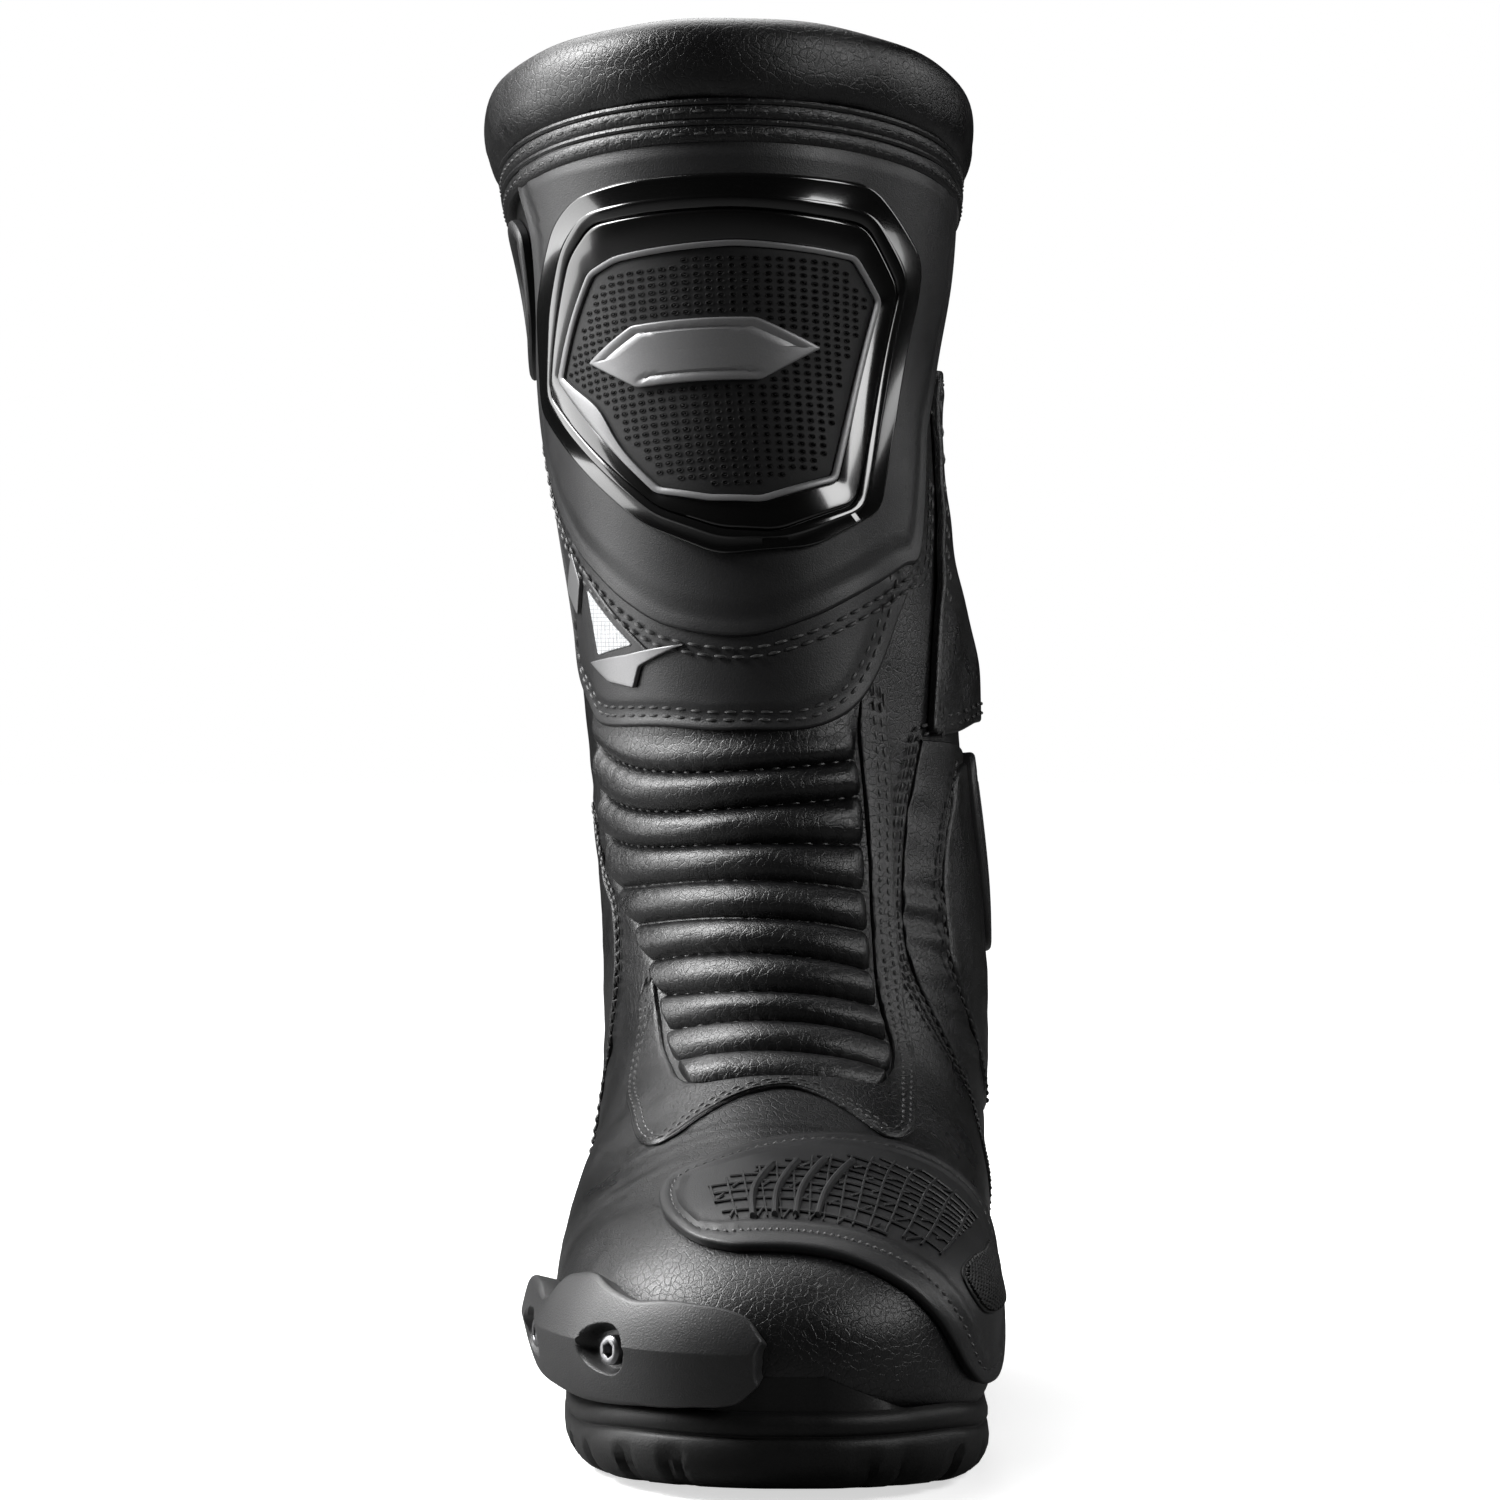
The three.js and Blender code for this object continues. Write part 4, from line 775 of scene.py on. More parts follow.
ROWS, COLUMNS, WALL = 300, 220, 2.3
run = np.linspace(0, 1, ROWS)
s_rows = 0.004 + (TOP - 0.004) * (0.06 * run + 0.94 * run ** 1.12)
v_columns = np.linspace(-1, 1, COLUMNS, endpoint=False)
s_grid, v_grid = np.meshgrid(s_rows, v_columns, indexing="ij")
face = pressed(skin(s_grid, v_grid, upper_lift(s_grid, v_grid)), (0.9, 0.9), 4.0, -1.3)
inner_rows = np.linspace(ROWS - 1, 1, 110).astype(int)
inside = skin(s_grid[inner_rows], v_grid[inner_rows], np.full(s_grid[inner_rows].shape, -WALL))
inside = pressed(inside, (2.0, 0.5), 5.0, -1.9)
tip = surface(0.004, v_columns).mean(0)
shield("upper_leather", np.vstack([face, inside]), tip - [0, 0.15, 0], tip + [0, WALL, 0],
       LEATHER, "leather", "ankle", nodes=("foot_shell", "ankle_side_inner",
       "ankle_side_outer", "achilles_bellows", "shaft_shell"), sharp=60)

# %% [markdown]
# The lining is a knitted spacer fabric, glued to a thin backing. It covers the inside
# from toe to collar, and shows only when one looks down into the boot.

# %% Lining and footbed
s_in = np.linspace(0.35, TOP, 90)
v_in = np.linspace(-1, 1, 120, endpoint=False)
s_grid, v_grid = np.meshgrid(s_in, v_in, indexing="ij")
LINING_FACE, LINING_BACK = -6.6, -5.0
back = skin(s_grid, v_grid, LINING_BACK + 0.12 * uneven(s_grid, v_grid, 20, 5))
front = skin(s_grid[::-1], v_grid[::-1],
             LINING_FACE + 0.15 * uneven(s_grid[::-1], v_grid[::-1], 14, 6))
shield("lining", np.vstack([back, front]), back[0].mean(0), front[-1].mean(0), LINING,
       "lining", "ankle", nodes=("foot_lining", "ankle_lining", "shaft_lining"), sharp=60)
bed_rows = np.linspace(0.55, 4.75, 60)
bed = np.linspace(0.84, 1.16, 24)
s_grid, v_grid = np.meshgrid(bed_rows, bed, indexing="ij")
cup = 1.6 * np.abs((v_grid - 1) / 0.16) ** 3
under = skin(s_grid, v_grid, np.full(s_grid.shape, -6.95))
over = skin(s_grid, v_grid, -10.6 - cup + 0.25 * uneven(s_grid, v_grid, 15, 8))
loop = np.concatenate([under, over[:, ::-1]], 1)
footbed = sweep("footbed_foam", loop, False, LINING, "lining", "foot", nodes=("footbed",))


# %% [markdown]
# ## The quilted ribs
# Ten soft rolls cross the instep so that it can flex: foam strips between leather and
# backing, sewn down along nine seams. Each roll swells between its seams. The leather
# puckers at the thread, which shows as small dents along every seam.

# %% Rib panel
RIB_ROWS, RIB_ACROSS = 260, 150
rows = np.linspace(0, len(RIB_LEFT) - 1, RIB_ROWS)
across = np.linspace(0, 1, RIB_ACROSS)
row_grid, across_grid = np.meshgrid(rows, across, indexing="ij")
place = rib_place(row_grid, across_grid)
share = row_grid % 1.0
swell = 1 - np.abs(2 * share - 1) ** 2.4
waves = ripple(row_grid * 14, across_grid * 70, 24, 11)
puff = 1 + 0.06 * np.sin(5.1 * np.floor(row_grid) + 2.0) + 0.06 * waves
near_seam = np.exp(-np.minimum(share, 1 - share) / 0.16)
pucker = near_seam * np.sin(across_grid * 100 + 3 * np.floor(row_grid + 0.5))
lift = -1.15 + 4.1 * swell ** 0.72 * puff + 0.13 * pucker
lift += 0.07 * ripple(row_grid * 14, across_grid * 70, 9, 12) * swell
edge = np.minimum(across_grid, 1 - across_grid)
lift = -1.2 + (lift + 1.2) * step_up(edge, -0.01, 0.055)
lift *= 1 - 0.75 * step_up(-row_grid, -1.0, -0.35)
RIB_BACK = -1.9
top = skin(place[..., 0], place[..., 1], lift)
below = skin(place[..., 0], place[..., 1], np.full(lift.shape, RIB_BACK))
loop = np.concatenate([top, below[:, ::-1]], 1)
ribs = sweep("rib_panel_quilt", loop, False, SOFT, "soft_leather", "ankle", nodes=("rib_panel",))
seam_paths = [rib_place(np.full(60, float(row)), np.linspace(0.03, 0.97, 60)) * FLAT
              for row in range(1, len(RIB_LEFT) - 1)]
stitches("rib_stitches", seam_paths, -0.75, THREAD, "leather", "ankle", pitch=3.4, length=2.4)


# %% [markdown]
# ## Leather overlays
# Panels of the same leather, a little over a millimetre thick, skived and turned at the
# edge, and held by two rows of stitches. A *strap* follows a pair of lines.

# %% Strap maker
def strap(name, first, second, thick, *rest, low=-0.2, samples=140, across=5, **more):
    """A band of leather between two (s, v) lines: an open sweep whose profile is flat with
    rounded shoulders, over a flat underside."""
    a, b = smooth(first, samples), smooth(second, samples)
    share = np.concatenate([[0, 0, 0.02, 0.06], np.linspace(0.12, 0.88, across),
                            [0.94, 0.98, 1, 1]])
    high = np.concatenate([[0, 0.55, 0.85, 0.98], np.ones(across), [0.98, 0.85, 0.55, 0]])
    share = np.concatenate([share, np.linspace(0.95, 0.05, across)])
    high = np.concatenate([high, np.zeros(across)])
    flats = a[:, None] + (b - a)[:, None] * share[None, :, None]
    fade = step_up(np.linspace(0, 1, samples), 0, 0.02)
    rise = (thick - low) * (0.3 + 0.7 * fade * fade[::-1])[:, None] * high[None, :]
    lifts = low + rise + 0.1 * ripple(flats[..., 0], flats[..., 1], 12, 21) * (high > 0.9)
    return sweep(name, lay(flats, lifts), False, *rest, **more)


# %% Instep overlay
OVERLAY_OUT = [(6.5, -0.2), (6.26, -0.206), (5.55, -0.203), (4.18, -0.211), (3.37, -0.218),
               (2.98, -0.205), (2.98, -0.171), (3.36, -0.099), (3.64, -0.046), (3.75, 0.0),
               (3.61, 0.039), (3.33, 0.088), (3.02, 0.148), (3.01, 0.178), (3.33, 0.191),
               (3.83, 0.173), (4.79, 0.134), (5.45, 0.119), (6.12, 0.113), (6.99, 0.113),
               (7.73, 0.124), (8.64, 0.145), (9.05, 0.15), (9.34, 0.155)]
OVERLAY_IN = [(6.6, -0.178), (6.3, -0.172), (5.6, -0.15), (4.9, -0.13), (4.4, -0.125),
              (4.2, -0.118), (4.05, -0.1), (4.0, -0.07), (3.99, -0.03), (3.98, 0.0),
              (3.98, 0.03), (3.98, 0.07), (4.02, 0.1), (4.15, 0.118), (4.3, 0.117),
              (4.46, 0.112), (5.13, 0.098), (5.5, 0.09), (6.2, 0.082), (6.99, 0.084),
              (7.73, 0.092), (8.64, 0.103), (9.05, 0.108), (9.34, 0.12)]
strap("instep_overlay_leather", OVERLAY_OUT, OVERLAY_IN, 1.3, LEATHER, "leather", "ankle",
      nodes=("instep_overlay",), samples=260)
outer_line = smooth(OVERLAY_OUT, 260)
stitches("instep_stitches", [beside(outer_line, -1.6), beside(outer_line, -3.6)], 1.25, THREAD,
         "leather", "ankle")
bead("instep_piping", outer_line, 0.55, 0.35, False, SOFT, "leather", "ankle")

# %% [markdown]
# The side panels carry the seams that one sees beside the ribs. Each is drawn as a closed
# outline; its free edge is sewn, with two rows on the quarters and one on the ankle cushion.

# %% Side panels
INNER_SEAM = [(9.05, 0.238), (9.0, 0.222), (8.72, 0.198), (8.25, 0.163), (7.59, 0.138),
              (7.03, 0.128), (6.45, 0.134), (5.90, 0.169), (5.48, 0.213), (5.17, 0.288),
              (4.79, 0.35), (4.4, 0.47), (4.35, 0.6)]
inner_panel = smooth(INNER_SEAM + [(5.2, 0.68), (6.4, 0.71), (7.8, 0.71), (8.8, 0.62),
                                   (9.2, 0.45)], 260, True)
plate("inner_quarter", inner_panel, -0.4, 0.85, 0.6, LEATHER, "leather", "ankle", rings=26,
      relief=lambda p: 0.16 * ripple(p[..., 0], p[..., 1], 16, 31)
      + 0.5 * step_up(p[..., 0] / 30, 5.2, 6.5) * step_up(-p[..., 0] / 30, -9.0, -8.2)
      * ripple(p[..., 0] - p[..., 1] ** 2 / 900, p[..., 1] / 5, 11, 7))
inner_line = smooth(INNER_SEAM, 200)
stitches("inner_quarter_stitches", [beside(inner_line, 1.5), beside(inner_line, 3.6)], 0.85,
         THREAD, "leather", "ankle")
GUARD_SHOULDER = [(8.9, 0.33), (8.57, 0.288), (8.23, 0.25), (7.81, 0.222), (7.41, 0.214),
                  (6.84, 0.213), (6.52, 0.231), (6.2, 0.275), (5.9, 0.35), (5.7, 0.45)]
shoulder = smooth(GUARD_SHOULDER + [(5.8, 0.58), (6.6, 0.66), (7.8, 0.68), (8.7, 0.6),
                                    (9.1, 0.46)], 220, True)
plate("ankle_cushion", shoulder, -0.3, 1.9, 1.2, SOFT, "soft_leather", "ankle", crown=0.4,
      rings=22, relief=lambda p: 0.2 * ripple(p[..., 0], p[..., 1], 14, 33))
stitches("ankle_cushion_stitches", [beside(smooth(GUARD_SHOULDER, 160), 2.4)], 2.0, THREAD,
         "leather", "ankle")
OUTER_SEAM = [(8.7, -0.47), (8.06, -0.40), (7.59, -0.328), (7.08, -0.312), (6.72, -0.318),
              (6.08, -0.361), (5.63, -0.416), (4.9, -0.47), (4.55, -0.56)]
outer_panel = smooth(OUTER_SEAM + [(5.2, -0.68), (6.6, -0.72), (8.0, -0.7), (8.9, -0.6)],
                     240, True)
plate("outer_quarter", outer_panel, -0.4, 0.9, 0.6, LEATHER, "leather", "ankle", rings=22,
      relief=lambda p: 0.18 * ripple(p[..., 0], p[..., 1], 14, 35))
outer_seam = smooth(OUTER_SEAM, 170)
stitches("outer_quarter_stitches", [beside(outer_seam, -1.5), beside(outer_seam, -3.6)], 0.9,
         THREAD, "leather", "ankle")

# %% [markdown]
# ## The padded collar
# A foam roll in soft leather closes the top. It is sewn in below by two piped bands, and
# the leather gathers a little at that seam.

# %% Collar
COLLAR_ROWS, COLLAR_SECTION = 320, 56
v_round = np.linspace(-1, 1, COLLAR_ROWS, endpoint=False)
rim = surface(np.full(COLLAR_ROWS, float(TOP)), v_round)
out = normal(np.full(COLLAR_ROWS, float(TOP)), v_round)
rise = rim - surface(np.full(COLLAR_ROWS, TOP - 0.2), v_round)
rise /= np.linalg.norm(rise, axis=1, keepdims=True)
COLLAR_HIGH, COLLAR_DEEP = 22.6, 17.4
middle = rim + rise * (COLLAR_HIGH / 2 + 0.2) - out * 3.5
turn = np.linspace(0, 2 * np.pi, COLLAR_SECTION, endpoint=False)
flat_cos = np.sign(np.cos(turn)) * np.abs(np.cos(turn)) ** 0.72
flat_sin = np.sign(np.sin(turn)) * np.abs(np.sin(turn)) ** 0.86
v_mesh, turn_mesh = np.meshgrid(v_round, turn, indexing="ij")
gather = np.exp(-((turn_mesh - 1.72 * np.pi) / 0.45) ** 2) * ripple(v_mesh * 170, turn_mesh * 3, 7, 41)
slack = 0.35 * ripple(v_mesh * 170, turn_mesh * 9, 34, 42) + 0.30 * gather
roll = (middle[:, None] + out[:, None] * (flat_cos[None] * COLLAR_DEEP / 2
        + slack * np.cos(turn_mesh))[..., None]
        + rise[:, None] * (flat_sin[None] * COLLAR_HIGH / 2 + slack * np.sin(turn_mesh))[..., None])
collar = sweep("collar_roll", roll, True, SOFT, "soft_leather", "shaft", nodes=("collar_pad",),
               sharp=80)


def hoop(name, low_s, high_s, thick, *rest, **more):
    """A band that runs right round the shaft between two stations."""
    v = np.linspace(-1, 1, 240, endpoint=False)
    share = np.array([0, 0, 0.06, 0.2, 0.5, 0.8, 0.94, 1, 1])
    high = np.array([0, 0.5, 0.85, 1, 1.05, 1, 0.85, 0.5, 0])
    s = low_s + (high_s - low_s) * share[None, :] + 0 * v[:, None]
    lifts = -0.2 + (thick + 0.2) * high[None, :] + 0 * v[:, None]
    return sweep(name, skin(s, v[:, None] + 0 * s, lifts), True, *rest, **more)


def round_line(s, from_v=-1.0, to_v=1.0):
    """A flat path round the shaft at one station."""
    v = np.linspace(from_v, to_v, 400)
    return np.stack([np.full(400, s * FLAT[0]), v * FLAT[1]], -1)


hoop("collar_band_upper", 13.87, 14.02, 3.0, LEATHER, "leather", "shaft")
hoop("collar_band_lower", 13.68, 13.84, 3.1, LEATHER, "leather", "shaft")
for name, s in (("collar_piping_upper", 14.03), ("collar_piping_lower", 13.855)):
    line = round_line(s)[:-1]
    bead(name, line, 0.9, 2.5, True, SOFT, "soft_leather", "shaft", squash=1.1)
stitches("collar_stitches", [round_line(13.95), round_line(13.76)], 3.15, THREAD, "leather",
         "shaft")

# %% [markdown]
# ## Shin guard
# Two moulded plates in matt polyurethane overlap down the shin. The upper one carries two
# gloss frames, one inside the other, a satin ring and a perforated insert with a badge.
# The badge is a plain elongated hexagon.

# %% Shin plates
UPPER_PLATE = [(13.82, -0.33), (13.84, -0.16), (13.84, 0.0), (13.83, 0.2), (13.80, 0.38),
               (13.2, 0.41), (12.16, 0.36), (11.58, 0.305), (11.2, 0.286), (10.55, 0.248),
               (10.4, 0.203), (10.11, 0.123), (9.87, 0.051), (9.73, -0.03), (9.86, -0.124),
               (10.11, -0.189), (10.43, -0.253), (10.72, -0.31), (11.3, -0.4),
               (11.7, -0.43), (12.1, -0.4), (12.6, -0.34), (13.2, -0.315)]
LOWER_PLATE = [(11.2, -0.465), (10.6, -0.426), (10.2, -0.408), (9.84, -0.41), (9.5, -0.35),
               (9.26, -0.298), (9.07, -0.158), (8.97, -0.086), (8.95, -0.036), (8.94, 0.006),
               (8.98, 0.048), (9.13, 0.093), (9.4, 0.134), (9.92, 0.184), (10.35, 0.215),
               (10.6, 0.1), (10.6, -0.15), (11.0, -0.35), (11.3, -0.43)]
upper_loop = smooth(UPPER_PLATE, 300, True)
lower_loop = smooth(LOWER_PLATE, 280, True)


def groove(loop, rise, fall, depth):
    """A relief: a groove along the edge, sinking over the distances `rise` from it and
    coming back up over the distances `fall`."""
    def height(p):
        away = edge_distance(p, loop)
        return -depth * step_up(away, *rise) * step_up(-away, -fall[1], -fall[0])
    return height


plate("lower_shin_plate_skin", lower_loop, 0.3, 1.9, 0.9, PLATE, "plate_matte", "shaft",
      rings=30, relief=groove(lower_loop, (1.5, 2.3), (5.3, 6.1), 0.6), nodes=("lower_shin_plate",))
plate("upper_shin_plate_skin", upper_loop, 0.9, 3.0, 1.0, PLATE, "plate_matte", "shaft",
      rings=34, relief=groove(upper_loop, (1.5, 2.3), (5.5, 6.3), 0.6), nodes=("upper_shin_plate",))
plate("shin_foam_pad", inset(upper_loop, 9), 0.3, 0.85, 0.25, LINING, "lining", "shaft",
      rings=16, nodes=("shin_foam",))
lower_hem = smooth(LOWER_PLATE[2:15], 220)
upper_hem = smooth(UPPER_PLATE[8:20], 260)
stitches("lower_plate_stitches", [beside(lower_hem, -2.8), beside(lower_hem, -4.8)], 1.5,
         THREAD, "leather", "shaft")
stitches("upper_plate_stitches", [beside(upper_hem, -2.9), beside(upper_hem, -5.0)], 2.6,
         THREAD, "leather", "shaft")

# %% Frames
FRAME = [(13.38, -0.184), (13.42, -0.116), (13.43, 0.159), (12.93, 0.25), (12.62, 0.247),
         (10.78, 0.158), (10.44, 0.064), (10.37, -0.044), (10.68, -0.138), (11.82, -0.335),
         (12.6, -0.30), (13.22, -0.229)]
INNER = [(13.12, -0.168), (13.13, 0.0), (13.08, 0.151), (12.62, 0.206), (10.81, 0.124),
         (10.55, 0.024), (10.58, -0.04), (10.78, -0.112), (11.89, -0.296), (12.89, -0.211)]
TRIM = [(12.81, -0.138), (12.86, 0.0), (12.81, 0.138), (12.48, 0.176), (10.97, 0.1),
        (10.78, 0.01), (10.80, -0.05), (10.9, -0.115), (11.97, -0.268), (12.73, -0.178)]
FRAME_COUNT = 420
centre = np.array([11.85, -0.03]) * FLAT
frame_loop = around(cornered(FRAME, 4, 900), centre, FRAME_COUNT)
inner_loop = around(cornered(INNER, 3, 900), centre, FRAME_COUNT)
trim_loop = around(cornered(TRIM, 1.6, 900), centre, FRAME_COUNT)
BASE = 2.6
ring_frame("outer_frame", frame_loop, inner_loop,
           [(0, BASE), (0, 4.3), (0.03, 5.0), (0.07, 5.35), (0.12, 5.4), (0.6, 4.7),
            (0.64, 4.85), (0.68, 5.0), (0.72, 5.0), (0.95, 4.7), (0.985, 4.5), (1, 4.0),
            (1, BASE)],
           GLOSS, "frame_gloss", "shaft", nodes=("outer_shin_frame",), sharp=50)
ring_frame("inner_frame", inner_loop, trim_loop,
           [(0.03, BASE), (0.03, 3.7), (0.06, 4.4), (0.10, 4.65), (0.16, 4.65), (0.9, 3.9),
            (0.97, 3.7), (0.97, BASE)],
           GLOSS, "frame_gloss", "shaft", nodes=("inner_shin_frame",), sharp=50)
low_left = np.exp(-(((trim_loop - np.array([11.6, -0.22]) * FLAT) / [13, 9]) ** 2).sum(1))
trim_inner = inset(trim_loop, 1.5)
inward = (centre - trim_inner) / np.linalg.norm(centre - trim_inner, axis=1, keepdims=True)
trim_inner = trim_inner + inward * (3.4 * low_left)[:, None]
ring_frame("trim_ring", trim_loop, trim_inner,
           [(0, BASE), (0, 4.35), (0.12, 4.6), (0.3, 4.65), (0.8, 4.5), (1, 4.2), (1, BASE)],
           SATIN, "trim_satin", "shaft", nodes=("shin_trim_ring",))
plate("insert_panel", trim_inner, BASE, 3.5, 0.2, INSERT, "plate_matte", "shaft", rings=16,
      nodes=("shin_insert",))

# %% [markdown]
# The insert is pierced by rows of small round holes on a square pitch, leaving a plain
# border. Each hole is a little cup: a raised lip round a shallow floor. The cups are
# near-black, darker than the insert: painted shade that stands for the depth of a hole.

# %% Perforation
PITCH, HOLE = 2.05, 0.70
TRUE_MM = FLAT / [33.5, 158.0]  # flat mm for one real mm where the insert lies
badge_loop = cornered([(12.0, -0.19), (12.22, -0.12), (12.22, 0.02), (12.0, 0.09),
                       (11.72, 0.02), (11.72, -0.12)], 0.8, 160)
span = np.arange(-22, 23) * PITCH
gx, gy = np.meshgrid(span * TRUE_MM[0], span * TRUE_MM[1], indexing="ij")
spots = centre + np.stack([gx, gy], -1).reshape(-1, 2)


def past_edge(spots, middle, loop):
    """How far flat points lie outside an outline, measured from its middle."""
    turn = np.arctan2(*(spots - middle).T[::-1])
    loop_turn = np.arctan2(*(loop - middle).T[::-1])
    order = np.argsort(loop_turn)
    edge = np.interp(turn, loop_turn[order], np.linalg.norm(loop - middle, axis=1)[order],
                     period=2 * np.pi)
    return np.linalg.norm(spots - middle, axis=1) - edge


BORDER, BADGE_GAP = 2.4, 0.4
spots = spots[past_edge(spots, centre, trim_inner) < -BORDER]
spots = spots[past_edge(spots, badge_loop.mean(0), badge_loop) > BADGE_GAP]
turn8 = np.linspace(0, 2 * np.pi, 8, endpoint=False)
cup_r = np.array([1.12, 1.0, 0.85, 0.7])
cup_z = np.array([3.42, 3.68, 3.68, 3.56])
ring_r = cup_r[:, None] * HOLE
flats = (spots[:, None, None]
         + np.stack([ring_r * np.cos(turn8), ring_r * np.sin(turn8)], -1)[None] * TRUE_MM)
cups = lay(flats, cup_z[None, :, None] + np.zeros(flats.shape[:3]))
one = quads(4, 8, False, True).tolist() + [list(range(24, 32)), list(range(8))[::-1]]
# The cups' near-black finish is painted shade, standing in for the dark inside of real holes.
piece("insert_holes", cups, repeated(one, 32, len(spots)), HOLE_SHADE, "plate_matte", "shaft", sharp=180)
print("holes in the insert:", len(spots))
plate("badge", badge_loop, 3.5, 5.2, 0.5, SATIN, "trim_satin", "shaft", rings=12,
      nodes=("shin_badge",), relief=groove(badge_loop, (1.6, 1.9), (2.4, 2.7), 0.5))

# %% Reflector and blades
reflector = cornered([(10.34, -0.282), (9.80, -0.272), (9.78, -0.188)], 1.2, 120)
bezel = cornered([(10.55, -0.298), (9.70, -0.288), (9.66, -0.155)], 2.0, 120)
plate("reflector_bezel", bezel, 1.0, 2.6, 0.6, PLATE, "plate_matte", "shaft")
plate("reflector_skin", reflector, 1.2, 2.95, 0.2, REFLECTIVE, "reflective", "shaft",
      nodes=("reflector",))
lower_blade = cornered([(9.78, -0.30), (9.72, -0.2), (9.71, -0.105), (9.60, -0.18),
                        (9.44, -0.195), (9.56, -0.25)], 0.5, 140)
upper_blade = cornered([(10.68, -0.325), (10.42, -0.305), (10.2, -0.335), (10.45, -0.375)],
                       0.8, 120)
plate("blade_lower", lower_blade, 1.2, 3.15, 0.3, SATIN, "trim_satin", "shaft",
      nodes=("accent_blade_lower",))
plate("blade_upper", upper_blade, 1.2, 3.0, 0.3, SATIN, "trim_satin", "shaft",
      nodes=("accent_blade_upper",))

# %% Side vent
VENT = [(13.6, -0.45), (13.4, -0.375), (13.1, -0.365), (12.6, -0.39), (12.35, -0.46),
        (12.4, -0.56), (13.0, -0.6), (13.5, -0.56)]
vent_loop = smooth(VENT, 160, True)
vent_hole = inset(vent_loop, 4.6)
ring_frame("vent_bezel", vent_loop, vent_hole,
           [(0, 0.2), (0, 2.2), (0.1, 2.8), (0.3, 3.1), (0.6, 3.0), (0.85, 2.4), (1, 1.4),
            (1, 0.2)], PLATE, "plate_matte", "shaft", nodes=("side_vent_bezel",))
plate("vent_mesh", vent_hole, 0.2, 1.1, 0.2, MESH, "mesh", "shaft", nodes=("side_vent_mesh",))


# %% [markdown]
# ## Toe
# The slider is a sacrificial block of hard nylon on the outer side of the toe, held by
# two socket screws in tear-shaped recesses. A grippy pad on the inner side meets the gear
# lever.

# %% Many ridges in one piece
def ridges(name, paths, radius, lift, *rest, sides=6, squash=1.0, **more):
    """Raised lines along open flat paths, merged into one piece."""
    turn = np.linspace(0, 2 * np.pi, sides, endpoint=False)
    points, faces, base = [], [], 0
    for path in paths:
        flats = path[:, None] + side_way(path, False)[:, None] * (radius * np.cos(turn))[None, :, None]
        points.append(lay(flats, np.broadcast_to(lift + radius * squash * np.sin(turn),
                                                 flats.shape[:2])).reshape(-1, 3))
        faces += [[i + base for i in face] for face in sweep_faces(len(path), sides, False)]
        base += len(path) * sides
    return piece(name, np.vstack(points), faces, *rest, **more)


# %% Toe slider
# Near the tip the stations crowd together, so the outline is drawn with s to the power
# 0.45, which is even there.
CROWD, SLIDER_FLAT = 0.45, np.array([73.0, 140.0])
SLIDER_OUT = [(1.6, -0.435), (1.29, -0.452), (1.13, -0.409), (0.8, -0.384), (0.58, -0.393),
              (0.38, -0.393), (0.15, -0.333), (0.05, -0.255), (0.012, -0.30),
              (0.010, -0.48), (0.012, -0.64), (0.05, -0.672), (0.14, -0.625), (0.36, -0.595),
              (0.84, -0.578), (1.32, -0.565), (1.9, -0.56), (2.25, -0.53), (2.3, -0.48),
              (1.95, -0.44)]
SEATS = [(0.48, -0.49), (1.5, -0.5)]
RIDGE_HEIGHT = 35.0


def unbend_slider(p):
    """From the slider's own flat frame to the common one."""
    s = np.maximum(p[..., 0] / SLIDER_FLAT[0], 0.05) ** (1 / CROWD)
    return np.stack([s * FLAT[0], p[..., 1] / SLIDER_FLAT[1] * FLAT[1]], -1)


def seat_frame(s, v):
    """Origin and three axes on the form: x sideways, y up, z outwards."""
    z = normal(s, v)
    x = np.cross([0, 0, 1.0], z)
    x /= np.linalg.norm(x)
    return surface(s, v), np.stack([x, np.cross(z, x), z])


def slider_relief(p):
    """Two flat faces that meet in a level ridge, less a tear-shaped well at each screw."""
    place = lay(p, np.zeros(p.shape[:-1]))
    over = place[..., 2] - RIDGE_HEIGHT
    height = 0.4 - np.where(over > 0, 0.20 * over, -0.24 * over)
    height = height - 1.6 * step_up(p[..., 0] / FLAT[0], 1.9, 2.3)
    for seat_s, seat_v in SEATS:
        origin, axes = seat_frame(seat_s, seat_v)
        away = (place - origin) @ axes.T
        tail = np.where(away[..., 0] < 0, 0.5, 1.0)
        reach_ = np.hypot(away[..., 0] * tail, away[..., 1])
        well = step_up(-reach_, -5.6, -4.2)
        height = height + well * (-4.4 - height)
    return height


slider_points = np.array(SLIDER_OUT)
slider_points[:, 0] = slider_points[:, 0] ** CROWD
slider_loop = cornered(slider_points * SLIDER_FLAT / FLAT, 3.0, 320)
plate("toe_slider_block", slider_loop, 0.3, 8.0, 1.3, SLIDER, "slider_plastic", "foot",
      rings=70, relief=slider_relief, unbend=unbend_slider, nodes=("toe_slider",), sharp=24)


